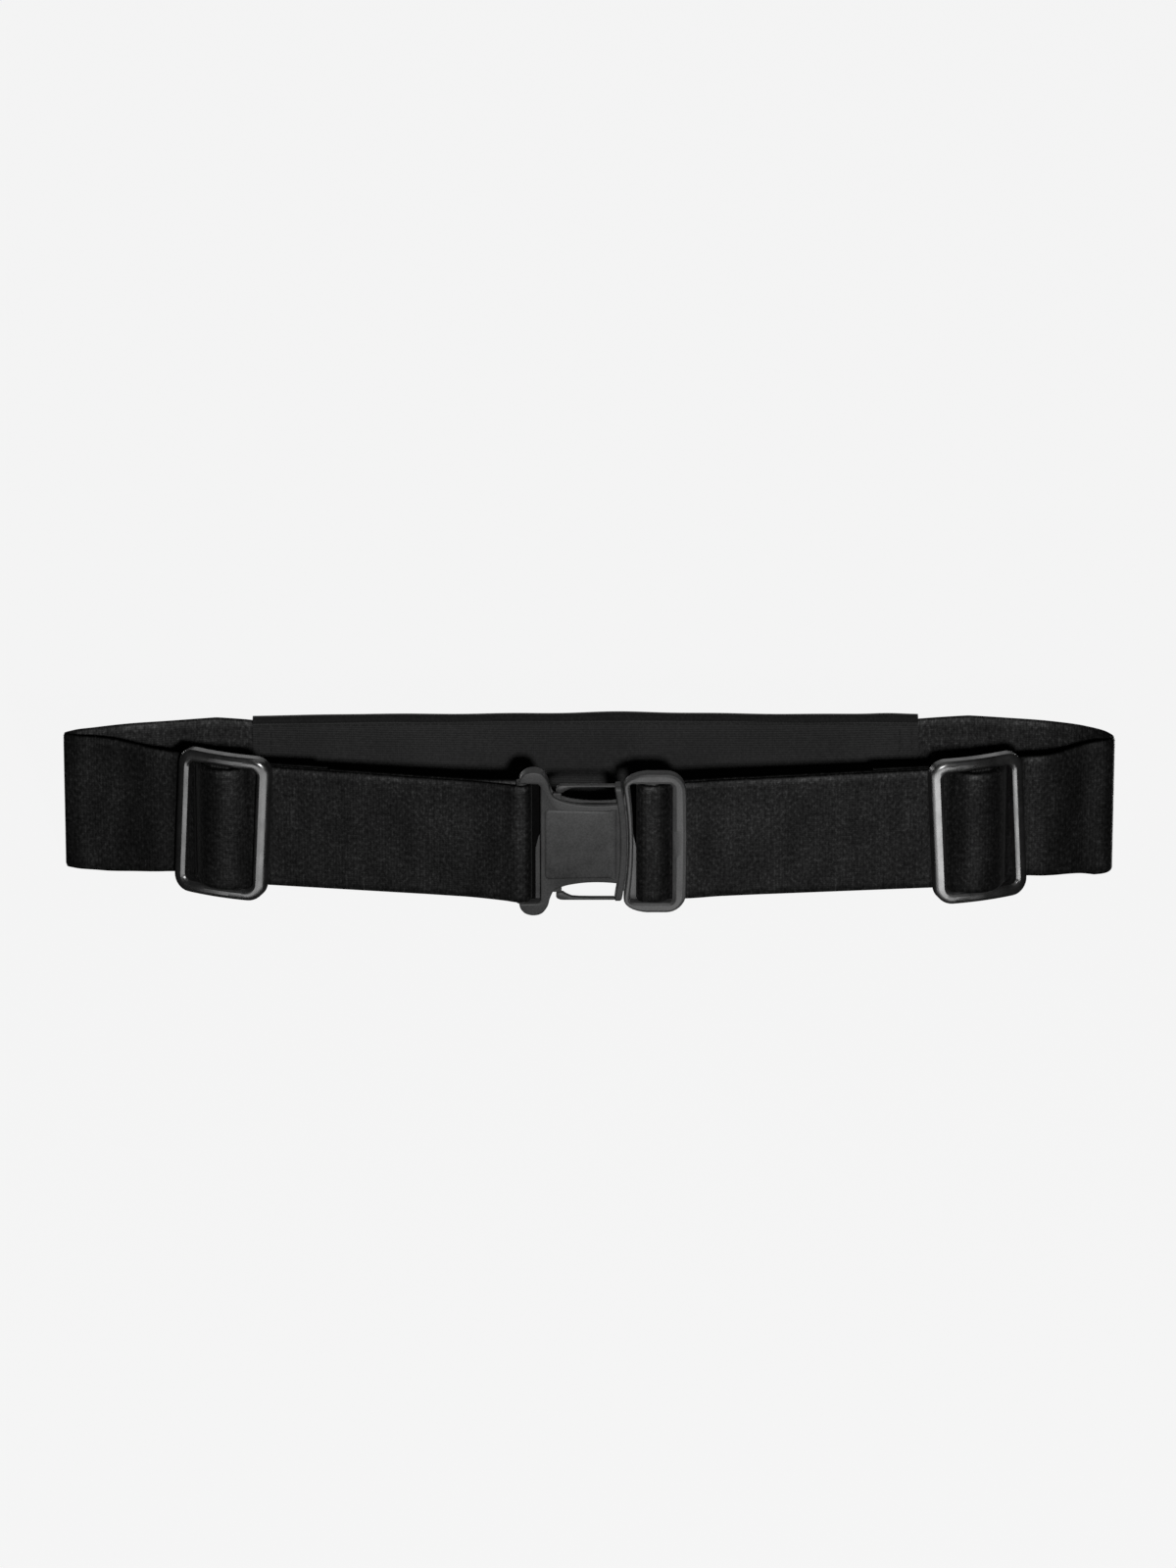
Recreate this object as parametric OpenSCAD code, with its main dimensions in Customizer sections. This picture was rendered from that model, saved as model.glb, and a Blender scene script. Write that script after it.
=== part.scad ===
// Money belt, closed and standing on its lower edge as a flat oval loop.
// An elastic strap runs from each end of a zipped pouch, round the end of the loop, over the centre bar
// of a slide adjuster, round a bar of the side-release buckle and back to the adjuster, where it is sewn.
// X runs along the belt, -Y is the buckle side, +Y is the pouch side, and +Z is up.

/* [Webbing] */
// Height of the webbing where the hardware holds it
web_w = 40; // [38:0.5:40.5]
// Height of the webbing where it is relaxed, at the two ends of the loop
relaxed_w = 47; // [42:0.5:48]
// Thickness of the webbing
web_t = 1.4; // [1:0.1:1.4]
// Length of webbing tail sewn behind each adjuster
tail_length = 34; // [28:1:40]

/* [Adjusters] */
// Width of an adjuster along the belt
adjuster_w = 32; // [32:0.5:34]
// Height of the hardware
hardware_h = 50; // [50:0.5:54]
// Thickness of an adjuster's frame
adjuster_t = 4.2; // [3:0.1:4.2]
// Width of the adjuster's two outer bars
adjuster_bar = 4; // [3:0.1:4]
// Radius of the adjuster's bow, in plan
bow_r = 70; // [60:1:90]

/* [Buckle] */
// Thickness of the buckle socket
socket_t = 6.4; // [6:0.1:7]
// Radius of the socket's round strap bar
strap_bar_r = 1.75; // [1.5:0.05:1.75]
// Thickness of a latch arm
latch_t = 0.8; // [0.6:0.1:1]

/* [Pouch] */
// Height of the pouch
pouch_h = 48; // [44:0.5:50]
// Thickness of a pouch panel
panel_t = 1; // [0.6:0.1:1]
// Height of the top and bottom bindings
binding_h = 1.5; // [1:0.1:2]
// Height of the zip's centre line above the base
zip_z = 30; // [26:0.5:34]
// Width of the gap between the two outer panels, which the zip fills
zip_gap = 12; // [11:0.5:14]

/* [Hidden] */
$fn = 48;

left = -1;
right = 1;
mid_z = hardware_h / 2;
webbing_colour = [0.09, 0.09, 0.1];
plastic_colour = [0.17, 0.17, 0.18];
panel_colour = [0.14, 0.14, 0.15];
metal_colour = [0.35, 0.35, 0.36];
cut = 0.01;

// Adjusters: the plan position of each centre, its turn from the X axis, and where its strap is heading
adjuster_at = [[-118.8, -16], [126.4, -19.1]];
adjuster_turn = [22, 20];
strap_entry = [[-32, -30.8], [34, -30.1]];
window_w = adjuster_w - 2 * adjuster_bar;
window_h = 42;
centre_bar_w = 7.5;
centre_bar_t = 2.6;
bow_centre = sqrt(pow(bow_r, 2) - pow((adjuster_w - adjuster_bar) / 2, 2));
bow_rise = bow_r - bow_centre;

// The strap runs this far behind the line through the adjuster's centre, and its layers are this far apart
strap_inset = 0.5;
layer_pitch = 1.6;
// The webbing's nodes meet this far from the adjuster's centre, towards the buckle
split = [53.6, 54];
node_gap = 0.3;

buckle_y = -31.4;
strap_bar_x = -21.6;
socket_end_x = 12.6;
plate_t = 1.6;
latch_x = -9.2;
latch_z = 18.5;
latch_tip_x = 8.7;
latch_reach = 20;
frame_bar = [20.3, -31.1];

zip_half = 93;
teeth_half = 90;
tape_y = 28.5;
tape_t = 0.5;
teeth_y = tape_y + tape_t;
teeth_t = 2;
teeth_w = 2.4;
zip_slot = 1;
slider_x = 85;
slider_l = 10;
bridge_y = 34;
bridge_r = 0.8;

// ---- Curves -------------------------------------------------------------------------------------

function direction(a, b) = (b - a) / norm(b - a);
function along(points, i) =
    i == 0 ? direction(points[0], points[1]) :
    i == len(points) - 1 ? direction(points[i - 1], points[i]) :
    let (before = norm(points[i] - points[i - 1]), after = norm(points[i + 1] - points[i]))
    (direction(points[i - 1], points[i]) * after + direction(points[i], points[i + 1]) * before)
        / (before + after);

// A point on the cubic from a to b, leaving along u and arriving along v
function cubic(a, b, u, v, t) =
    let (h = norm(b - a))
    a * (2 * pow(t, 3) - 3 * pow(t, 2) + 1) + u * h * (pow(t, 3) - 2 * pow(t, 2) + t)
        + b * (3 * pow(t, 2) - 2 * pow(t, 3)) + v * h * (pow(t, 3) - pow(t, 2));

// A smooth curve through the points, with the given number of steps between each two
function smooth(points, steps = 4) = concat(
    [for (i = [0:len(points) - 2], k = [0:steps - 1])
        cubic(points[i], points[i + 1], along(points, i), along(points, i + 1), k / steps)],
    [points[len(points) - 1]]
);

function aside(points, i, distance) =
    let (forward = along(points, i), unit = forward / norm(forward))
    points[i] + distance * [-unit.y, unit.x];

function reversed(points) = [for (i = [len(points) - 1:-1:0]) points[i]];

function part_of(points, first, last) = [for (i = [first:last]) points[i]];

// A band that stands on edge along a plan route. The table holds [share of the route, bottom, top].
module band(route, table, thickness) {
    last = len(route) - 1;
    bottoms = [for (row = table) [row[0], row[1]]];
    tops = [for (row = table) [row[0], row[2]]];
    points = [for (i = [0:last]) let (
            inner = aside(route, i, thickness / 2),
            outer = aside(route, i, -thickness / 2),
            low = lookup(i / last, bottoms),
            high = lookup(i / last, tops)
        ) each [[inner.x, inner.y, low], [outer.x, outer.y, low],
                [outer.x, outer.y, high], [inner.x, inner.y, high]]];
    sides = [for (i = [0:last - 1], k = [0:3])
        [4 * i + k, 4 * i + (k + 1) % 4, 4 * i + 4 + (k + 1) % 4, 4 * i + 4 + k]];
    start = [0, 3, 2, 1];
    end = [4 * last, 4 * last + 1, 4 * last + 2, 4 * last + 3];
    polyhedron(points, concat([start, end], sides));
}

// A strip of even height that stands on edge along a plan route
module strip(route, bottom, top, thickness) {
    last = len(route) - 1;
    translate([0, 0, bottom])
        linear_extrude(top - bottom)
            polygon(concat(
                [for (i = [0:last]) aside(route, i, thickness / 2)],
                reversed([for (i = [0:last]) aside(route, i, -thickness / 2)])
            ));
}

// ---- Webbing ------------------------------------------------------------------------------------

function index_of(side) = side == left ? 0 : 1;

// A plan point near an adjuster: u is towards the buckle in the frame's plane, v is out of its front
function near_adjuster(side, u, v) =
    let (turn = adjuster_turn[index_of(side)], centre = adjuster_at[index_of(side)])
    centre + u * [-side * cos(turn), -sin(turn)] + v * [side * sin(turn), -cos(turn)];

// A plan point on the strap between an adjuster and the buckle, on one of its layers
function on_strap(side, distance, layer = 0) =
    let (
        centre = adjuster_at[index_of(side)],
        forward = direction(centre, strap_entry[index_of(side)]),
        behind = strap_inset + layer * layer_pitch
    )
    centre + distance * forward + behind * side * [forward.y, -forward.x];

hump = [[-14, -3.5], [-11, -3.1], [-9.3, -1.2], [-7.9, 1.8], [-5.2, 4.3], [0, 5.2],
        [5.2, 4.3], [7.9, 1.8], [9.3, -1.2], [11, -3]];
bar_loop = [[10, -4.6], [7.6, -1.6], [6.2, 1.2], [4.2, 3], [0, 3.65], [-4.2, 3], [-5.5, 1.2],
            [-4.4, -0.6], [-1.5, -0.95], [2, -1.5], [5.2, -3.9], [8.6, -6.2]];

// The straps' plan routes from between the pouch's panels to just outside each adjuster
left_side_route = smooth([
    [-101, 22.4], [-111, 21.9], [-124, 19.6], [-137, 17.1], [-150, 14.5], [-161, 11.1], [-168.4, 7.5],
    [-170.8, 4.7], [-168.4, 2.9], [-160, 1.1], [-150.4, -0.9], [-141, -4.2],
    near_adjuster(left, -17, -3.8)
]);
right_side_route = smooth([
    [99, 23.6], [110, 23.2], [122, 22.1], [137, 19.7], [152, 16.5], [162.5, 12.3], [169.2, 6.9],
    [170.8, 3], [169, 0.2], [165, -0.9], [160, -1.9], [155, -4.9], [150, -7.7],
    near_adjuster(right, -17, -3.8)
]);

function running_route(side) = smooth(concat(
    [near_adjuster(side, -17 + node_gap, -3.8)],
    [for (p = hump) near_adjuster(side, p[0], p[1])],
    [on_strap(side, 14), on_strap(side, 18), on_strap(side, split[index_of(side)] - node_gap)]
));

function loop_route(side) = smooth(concat(
    [on_strap(side, 14, 1)],
    [for (p = bar_loop) near_adjuster(side, p[0], p[1])],
    [on_strap(side, 14, 2), on_strap(side, 18, 2), on_strap(side, tail_length, 2)]
));

// Round the socket's strap bar, and round the centre bar of the buckle's frame
left_wrap = concat(
    [[-27, -32.4]],
    [for (a = [-100:50:100]) [strap_bar_x, buckle_y] + (strap_bar_r + 0.15 + web_t / 2) * [cos(a), sin(a)]],
    [[-27, -28.6]]
);
right_wrap = [for (p = [[9.2, 0.55], [7, 0.3], [5.2, -0.8], [3.6, -2], [2, -2.6], [0, -2.65], [-2.3, -2.5],
                        [-3.8, -1.4], [-4.2, 0.1], [-3.4, 1.6], [-1.7, 2.35], [0.5, 2.5],
                        [4.7, 2.2], [9.2, 2.2]]) frame_bar + p];
// The two layers run straight from the split to just before each wrap
wrap_start = [80, 84];
wrap_lead = 4;

function buckle_layer(side, layer) =
    let (end = wrap_start[index_of(side)])
    [for (d = [split[index_of(side)], end - wrap_lead, end]) on_strap(side, d, layer)];
function buckle_route(side) = smooth(concat(
    buckle_layer(side, 0),
    side == left ? left_wrap : right_wrap,
    reversed(buckle_layer(side, 1))
));

held = [mid_z - web_w / 2, mid_z + web_w / 2];
relaxed = [24.4 - relaxed_w / 2, 24.4 + relaxed_w / 2];
relaxed_table = [[0, relaxed[0], relaxed[1]], [1, relaxed[0], relaxed[1]]];
in_pouch = [binding_h + 0.4, pouch_h - binding_h - 0.4];

// Webbing whose height changes along its route, and webbing that the hardware holds at one height
module webbing(route, table) {
    color(webbing_colour)
        band(route, table, web_t);
}
module held_webbing(route) {
    color(webbing_colour)
        strip(route, held[0], held[1], web_t);
}

// The left strap's side run: relaxed round the end of the loop, gathered towards the adjuster
module left_side_webbing() {
    webbing(left_side_route, [
        [0, in_pouch[0], in_pouch[1]], [0.085, in_pouch[0], in_pouch[1]],
        [0.25, relaxed[0], relaxed[1]], [0.62, relaxed[0], relaxed[1]],
        [0.88, held[0] - 2, held[1] + 2], [1, held[0] - 0.5, held[1] + 0.5]
    ]);
}

// The right strap's side run is the same, in three: its middle bends as the buckle is pulled apart
turn_first = 20;
turn_last = 36;
module right_back_webbing() {
    webbing(part_of(right_side_route, 0, turn_first), [
        [0, in_pouch[0], in_pouch[1]], [0.2, in_pouch[0], in_pouch[1]],
        [0.6, relaxed[0], relaxed[1]], [1, relaxed[0], relaxed[1]]
    ]);
}
module right_turn_webbing() {
    webbing(smooth(concat(
        [right_side_route[turn_first] + node_gap * direction(right_side_route[turn_first],
            right_side_route[turn_first + 1])],
        part_of(right_side_route, turn_first + 1, turn_last - 1),
        [right_side_route[turn_last] - node_gap * direction(right_side_route[turn_last - 1],
            right_side_route[turn_last])]
    ), 1), relaxed_table);
}
module right_side_webbing() {
    webbing(part_of(right_side_route, turn_last, len(right_side_route) - 1), [
        [0, relaxed[0], relaxed[1]], [0.25, relaxed[0], relaxed[1]],
        [0.7, held[0] - 2, held[1] + 2], [1, held[0] - 0.5, held[1] + 0.5]
    ]);
}

module running_webbing(side) {
    held_webbing(running_route(side));
}
module return_webbing(side) {
    held_webbing([on_strap(side, 14 + node_gap, 1), on_strap(side, split[index_of(side)] - node_gap, 1)]);
}
module buckle_webbing(side) {
    held_webbing(buckle_route(side));
}
module sewn_loop(side) {
    held_webbing(loop_route(side));
}

module left_running_webbing() { running_webbing(left); }
module left_return_webbing() { return_webbing(left); }
module left_buckle_webbing() { buckle_webbing(left); }
module left_sewn_loop() { sewn_loop(left); }
module right_running_webbing() { running_webbing(right); }
module right_return_webbing() { return_webbing(right); }
module right_buckle_webbing() { buckle_webbing(right); }
module right_sewn_loop() { sewn_loop(right); }

// Two rows of dense stitches on the back of the tail
module bartack(side) {
    thread_t = 0.4;
    row_w = 2;
    lift = (web_t + thread_t) / 2 / layer_pitch;
    color("black")
        for (start = [tail_length - 15, tail_length - 6])
            strip([on_strap(side, start, 2 + lift), on_strap(side, start + row_w, 2 + lift)],
                held[0] + 2, held[1] - 2, thread_t);
}
module left_bartack() { bartack(left); }
module right_bartack() { bartack(right); }

// ---- Hardware -----------------------------------------------------------------------------------

module rounded_rectangle(w, h, r) {
    square([w - 2 * r, h], center = true);
    square([w, h - 2 * r], center = true);
    for (x = [-1, 1], y = [-1, 1])
        translate([x * (w / 2 - r), y * (h / 2 - r)])
            circle(r);
}

// Turns an outline drawn in X and Z into a plate across Y, between two depths
module plate(front, back) {
    translate([0, back, mid_z])
        rotate([90, 0, 0])
            linear_extrude(back - front)
                children();
}

// A bowed frame with one window, and a flat centre bar with round edges across it
module adjuster(side) {
    turn = adjuster_turn[index_of(side)];
    centre = adjuster_at[index_of(side)];
    corner_r = 5.5;
    window_r = 2.3;
    edge = (centre_bar_w - centre_bar_t) / 2;
    color(plastic_colour)
        translate([centre.x, centre.y, 0])
            rotate([0, 0, side * turn]) {
                intersection() {
                    translate([0, bow_centre, 0])
                        difference() {
                            cylinder(h = hardware_h, r = bow_r + adjuster_t / 2, $fn = 180);
                            translate([0, 0, -cut])
                                cylinder(h = hardware_h + 2 * cut, r = bow_r - adjuster_t / 2, $fn = 180);
                        }
                    plate(-bow_rise - adjuster_t, adjuster_t)
                        difference() {
                            rounded_rectangle(adjuster_w, hardware_h, corner_r);
                            rounded_rectangle(window_w, window_h, window_r);
                        }
                }
                plate(-bow_rise - centre_bar_t / 2, -bow_rise + centre_bar_t / 2)
                    square([2 * edge, window_h + 2], center = true);
                for (x = [-edge, edge])
                    translate([x, -bow_rise, mid_z - window_h / 2 - 1])
                        cylinder(h = window_h + 2, d = centre_bar_t);
            }
}
module left_adjuster() { adjuster(left); }
module right_adjuster() { adjuster(right); }

// The left half of the buckle: a strap bar between two lobes, twin plates and a mouth ring
module buckle_socket() {
    lobe_r = 5;
    lobe_x = -17.3;
    slot_x = [-19.85, -15.5];
    wall_x = [-15.5, -12.3];
    plate_start = [-12.4, 16.4];
    waist_r = 38;
    waist_x = 4;
    waist_z = 13.4;
    ring_x = 9;
    shoulder_r = 5;
    yoke_t = 4;
    slot_half = 20.6;
    lip_w = 2.7;
    lip_y = 1.45;
    lip_t = 1.15;
    color(plastic_colour) {
        // Yoke: lobes, arms, and the slot that the webbing passes through
        plate(buckle_y - yoke_t / 2, buckle_y + yoke_t / 2)
            difference() {
                for (z = [-1, 1])
                    scale([1, z]) {
                        translate([lobe_x, mid_z - lobe_r])
                            circle(lobe_r);
                        translate([slot_x[0] - 2, plate_start[1] - 4])
                            square([plate_start[0] - slot_x[0] + 2, mid_z - lobe_r - plate_start[1] + 4]);
                    }
                translate([slot_x[0] - 4, -slot_half])
                    square([slot_x[1] - slot_x[0] + 4, 2 * slot_half]);
            }
        translate([strap_bar_x, buckle_y, mid_z - slot_half - 0.4])
            cylinder(h = 2 * slot_half + 0.8, r = strap_bar_r);
        // End wall behind the slot
        plate(buckle_y - socket_t / 2, buckle_y + socket_t / 2)
            translate([wall_x[0], -plate_start[1]])
                square([wall_x[1] - wall_x[0], 2 * plate_start[1]]);
        // Lip across the back of the slot
        plate(buckle_y + lip_y, buckle_y + lip_y + lip_t)
            translate([wall_x[0] - lip_w, -slot_half])
                square([lip_w + 1, 2 * slot_half]);
        // Two plates, waisted at their top and bottom edges, with concave shoulders up to the arms
        for (front = [-socket_t / 2, socket_t / 2 - plate_t])
            plate(buckle_y + front, buckle_y + front + plate_t) {
                for (z = [-1, 1])
                    scale([1, z])
                        difference() {
                            translate([plate_start[0] - 2, plate_start[1] - 2])
                                square([2 + shoulder_r, 2 + shoulder_r]);
                            translate([plate_start[0] + shoulder_r, plate_start[1] + shoulder_r])
                                circle(shoulder_r);
                        }
                difference() {
                    translate([wall_x[0], -plate_start[1]])
                        square([ring_x - wall_x[0] + 1, 2 * plate_start[1]]);
                    for (z = [-1, 1])
                        translate([waist_x, z * (waist_z + waist_r)])
                            circle(waist_r, $fn = 180);
                }
            }
        // Mouth ring
        translate([ring_x, buckle_y, mid_z])
            rotate([90, 0, 90])
                linear_extrude(socket_end_x - ring_x)
                    difference() {
                        rounded_rectangle(socket_t, 2 * latch_reach, 1.5);
                        square([socket_t - 2 * plate_t, 2 * 17.8], center = true);
                    }
    }
}

// The right half of the buckle: a window with a centre bar for the strap and a raised outer bar
module buckle_frame() {
    frame_x = [socket_end_x + 0.2, 31.3];
    frame_y = [-2.6, 1.9];
    frame_half = 24.2;
    window_x = [14.5, 27];
    window_half = 20.6;
    bar_w = 4.5;
    bar_t = 3;
    middle = (frame_x[0] + frame_x[1]) / 2;
    color(plastic_colour) {
        plate(buckle_y + frame_y[0], buckle_y + frame_y[1])
            difference() {
                translate([middle, 0])
                    rounded_rectangle(frame_x[1] - frame_x[0], 2 * frame_half, 6);
                translate([window_x[0], -window_half])
                    square([frame_x[1] - window_x[0] + cut, 2 * window_half]);
            }
        plate(buckle_y - 2.9, buckle_y - 0.3)
            translate([window_x[1], -window_half - 1])
                square([frame_x[1] - window_x[1], 2 * window_half + 2]);
        plate(frame_bar.y - bar_t / 2, frame_bar.y + bar_t / 2)
            translate([frame_bar.x, 0])
                square([bar_w - bar_t, 2 * window_half + 2], center = true);
        for (x = [-1, 1])
            translate([frame_bar.x + x * (bar_w - bar_t) / 2, frame_bar.y, mid_z - window_half - 1])
                cylinder(h = 2 * window_half + 2, d = bar_t);
    }
}

prong_z = [10.8, 13.2];
prong_x = [-11.5, socket_end_x + 0.2];
prong_y = [-1.4, 0.6];

// Two sprung legs that reach into the socket, with a shoulder out to each latch arm
module buckle_prongs() {
    shoulder_w = 2.8;
    color(plastic_colour)
        for (z = [-1, 1])
            plate(buckle_y + prong_y[0], buckle_y + prong_y[1])
                scale([1, z]) {
                    translate([prong_x[0], prong_z[0]])
                        square([prong_x[1] - prong_x[0], prong_z[1] - prong_z[0]]);
                    translate([prong_x[0], prong_z[0]])
                        square([shoulder_w, latch_z - 1.25 - prong_z[0]]);
                }
}

// A thin spring strip with a round root, which stops against the socket's mouth ring
module latch_arm(z) {
    root_r = 1.15;
    color(plastic_colour) {
        plate(buckle_y + prong_y[0], buckle_y + prong_y[1])
            scale([1, z]) {
                translate([latch_x, latch_reach - latch_t])
                    square([latch_tip_x - latch_x, latch_t]);
                polygon([[latch_x, latch_z], [latch_x, latch_reach], [latch_x + 5, latch_reach]]);
            }
        translate([latch_x, buckle_y + prong_y[1], mid_z + z * latch_z])
            rotate([90, 0, 0])
                cylinder(h = prong_y[1] - prong_y[0], r = root_r);
    }
}
module upper_latch_arm() { latch_arm(1); }
module lower_latch_arm() { latch_arm(-1); }

// ---- Pouch --------------------------------------------------------------------------------------

inner_route = smooth([[-110, 20.5], [-55, 22.6], [0, 23.3], [55, 23.1], [108, 22]], 6);
outer_left_end = [[-110, 23.2], [-107, 23.9], [-103, 26.4], [-99, 28.8], [-95, 29.55]];
outer_right_end = [[95, 29.55], [99, 28.9], [103, 27], [105.5, 25.4], [108, 24.7]];
outer_route = smooth(concat(
    outer_left_end, [[-90, 29.6], [-80, 29.6], [80, 29.6], [90, 29.6]], outer_right_end
));
panel_z = [binding_h, pouch_h - binding_h];

module pouch_inner_panel() {
    color(panel_colour)
        strip(inner_route, panel_z[0], panel_z[1], panel_t);
}
module pouch_upper_panel() {
    color(panel_colour)
        strip(outer_route, zip_z + zip_gap / 2, panel_z[1], panel_t);
}
module pouch_lower_panel() {
    color(panel_colour)
        strip(outer_route, panel_z[0], zip_z - zip_gap / 2, panel_t);
}

// A binding closes the pouch along one edge, from the inner panel's face to the outer panels' face
module binding(bottom) {
    front = [for (i = [0:len(inner_route) - 1]) aside(inner_route, i, -panel_t / 2)];
    back = [for (i = [0:len(outer_route) - 1]) aside(outer_route, i, panel_t / 2)];
    color("black")
        translate([0, 0, bottom])
            linear_extrude(binding_h)
                polygon(concat(front, reversed(back)));
}
module pouch_top_binding() { binding(panel_z[1]); }
module pouch_bottom_binding() { binding(0); }

// Two rows of stitches through the inner panel and the end of a strap
module end_stitching(xs) {
    thread_t = 0.3;
    color("black")
        for (x = xs)
            translate([x, 0, 0])
                strip([for (dx = [-0.4, 0.4]) [dx, lookup(x + dx, inner_route) - (panel_t + thread_t) / 2 - 0.05]],
                    5, pouch_h - 5, thread_t);
}
module pouch_left_stitching() { end_stitching([-108, -104]); }
module pouch_right_stitching() { end_stitching([102, 106]); }

// Fabric tabs cover the ends of the zip
module zip_tab(route) {
    color(panel_colour)
        strip(route, zip_z - zip_gap / 2 + 0.1, zip_z + zip_gap / 2 - 0.1, panel_t);
}
module zip_left_tab() { zip_tab(smooth(outer_left_end)); }
module zip_right_tab() { zip_tab(smooth(outer_right_end)); }

// ---- Zip ----------------------------------------------------------------------------------------

// A tape reaches from the slot between the rows of teeth to behind its panel
module zip_tape(sign) {
    reach = zip_gap / 2 + 3;
    color("black")
        translate([-zip_half, tape_y, zip_z + (sign > 0 ? zip_slot / 2 : -reach)])
            cube([2 * zip_half, tape_t, reach - zip_slot / 2]);
}
module zip_upper_tape() { zip_tape(1); }
module zip_lower_tape() { zip_tape(-1); }

module zip_teeth(sign) {
    color("black")
        translate([-teeth_half, teeth_y, zip_z + (sign > 0 ? zip_slot / 2 : -zip_slot / 2 - teeth_w)])
            cube([2 * teeth_half, teeth_t, teeth_w]);
}
module zip_upper_teeth() { zip_teeth(1); }
module zip_lower_teeth() { zip_teeth(-1); }

// The two stops that keep the slider on the teeth
module zip_stops() {
    stop_l = 1.6;
    stop_w = 5.4;
    color(metal_colour)
        for (x = [-1, 1])
            translate([x * (teeth_half + 0.2 + stop_l / 2) - stop_l / 2, teeth_y, zip_z - stop_w / 2])
                cube([stop_l, teeth_t - 0.4, stop_w]);
}

// The slider: a cover with side flanges, a neck between the teeth, an inner plate and a bridge
module zip_slider() {
    play = 0.25;
    cover_w = 8;
    cover_y = teeth_y + teeth_t + play;
    cover_t = 0.8;
    flange_w = 1;
    flange_z = zip_slot / 2 + teeth_w + play;
    inner_y = tape_y - play - 0.65;
    color(metal_colour)
        translate([slider_x, 0, zip_z]) {
            plate_at(slider_l, cover_w, cover_y, cover_t);
            plate_at(slider_l, cover_w, inner_y, 0.65);
            plate_at(3, zip_slot - 2 * play + 0.1, inner_y, cover_y - inner_y + cut);
            for (z = [flange_z, -flange_z - flange_w])
                translate([-slider_l / 2, teeth_y + play, z])
                    cube([slider_l, cover_y - teeth_y - play + cut, flange_w]);
            for (x = [-3.5, 3.5])
                translate([x - bridge_r, cover_y, -bridge_r])
                    cube([2 * bridge_r, bridge_y - cover_y, 2 * bridge_r]);
            translate([-3.5 - bridge_r, bridge_y, 0])
                rotate([0, 90, 0])
                    cylinder(h = 7 + 2 * bridge_r, r = bridge_r);
        }
}

// A flat plate centred in X and Z, which starts at one depth
module plate_at(length, height, front, thickness) {
    translate([-length / 2, front, -height / 2])
        cube([length, thickness, height]);
}

// The pull hangs from the slider's bridge and lifts about it
module zip_pull() {
    eye_r = 1.75;
    eye_l = 3;
    pull_w = 5;
    pull_l = 19;
    pull_t = 1;
    bore_r = bridge_r + 0.1;
    color(metal_colour)
        translate([slider_x, bridge_y, zip_z])
            difference() {
                union() {
                    rotate([0, 90, 0])
                        cylinder(h = eye_l, r = eye_r, center = true);
                    translate([-eye_l / 2, -pull_t / 2, -4])
                        cube([eye_l, pull_t, 4 - bore_r]);
                    translate([-pull_w / 2, -pull_t / 2, -pull_l + pull_w / 2])
                        cube([pull_w, pull_t, pull_l - pull_w / 2 - 3.5]);
                    translate([0, pull_t / 2, -pull_l + pull_w / 2])
                        rotate([90, 0, 0])
                            cylinder(h = pull_t, d = pull_w);
                }
                rotate([0, 90, 0])
                    cylinder(h = eye_l + 1, r = bore_r, center = true);
            }
}

pouch_inner_panel();
pouch_upper_panel();
pouch_lower_panel();
pouch_top_binding();
pouch_bottom_binding();
pouch_left_stitching();
pouch_right_stitching();
zip_left_tab();
zip_right_tab();
zip_upper_tape();
zip_lower_tape();
zip_upper_teeth();
zip_lower_teeth();
zip_stops();
zip_slider();
zip_pull();
left_side_webbing();
left_running_webbing();
left_return_webbing();
left_buckle_webbing();
left_sewn_loop();
left_bartack();
left_adjuster();
right_back_webbing();
right_turn_webbing();
right_side_webbing();
right_running_webbing();
right_return_webbing();
right_buckle_webbing();
right_sewn_loop();
right_bartack();
right_adjuster();
buckle_socket();
buckle_frame();
buckle_prongs();
upper_latch_arm();
lower_latch_arm();
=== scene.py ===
"""The looks of the money belt: woven straps, the soft zipped pouch, and moulded hardware.

Lengths are in millimetres until a mesh is made, which puts them in metres, in the row frame.
"""
import math
import random

import bmesh
import bpy
import numpy as np
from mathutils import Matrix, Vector
from mathutils.geometry import tessellate_polygon


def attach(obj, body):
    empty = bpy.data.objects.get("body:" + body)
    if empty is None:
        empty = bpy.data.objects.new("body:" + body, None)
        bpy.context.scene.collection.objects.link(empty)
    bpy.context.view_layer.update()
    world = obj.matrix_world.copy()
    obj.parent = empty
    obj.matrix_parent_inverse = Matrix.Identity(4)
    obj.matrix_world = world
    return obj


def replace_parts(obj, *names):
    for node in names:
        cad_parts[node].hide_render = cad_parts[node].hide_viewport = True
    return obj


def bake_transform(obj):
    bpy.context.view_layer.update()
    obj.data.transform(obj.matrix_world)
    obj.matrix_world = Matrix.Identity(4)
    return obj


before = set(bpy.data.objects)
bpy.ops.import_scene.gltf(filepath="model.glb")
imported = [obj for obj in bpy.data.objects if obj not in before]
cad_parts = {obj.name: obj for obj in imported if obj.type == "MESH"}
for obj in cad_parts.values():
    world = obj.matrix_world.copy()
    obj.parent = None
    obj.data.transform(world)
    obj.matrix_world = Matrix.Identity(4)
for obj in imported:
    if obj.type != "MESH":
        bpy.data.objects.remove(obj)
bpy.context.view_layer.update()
random.seed(40)
MM = 0.001

# ---- The frame's own sizes, as the CAD source has them ----------------------------------------------

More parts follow.
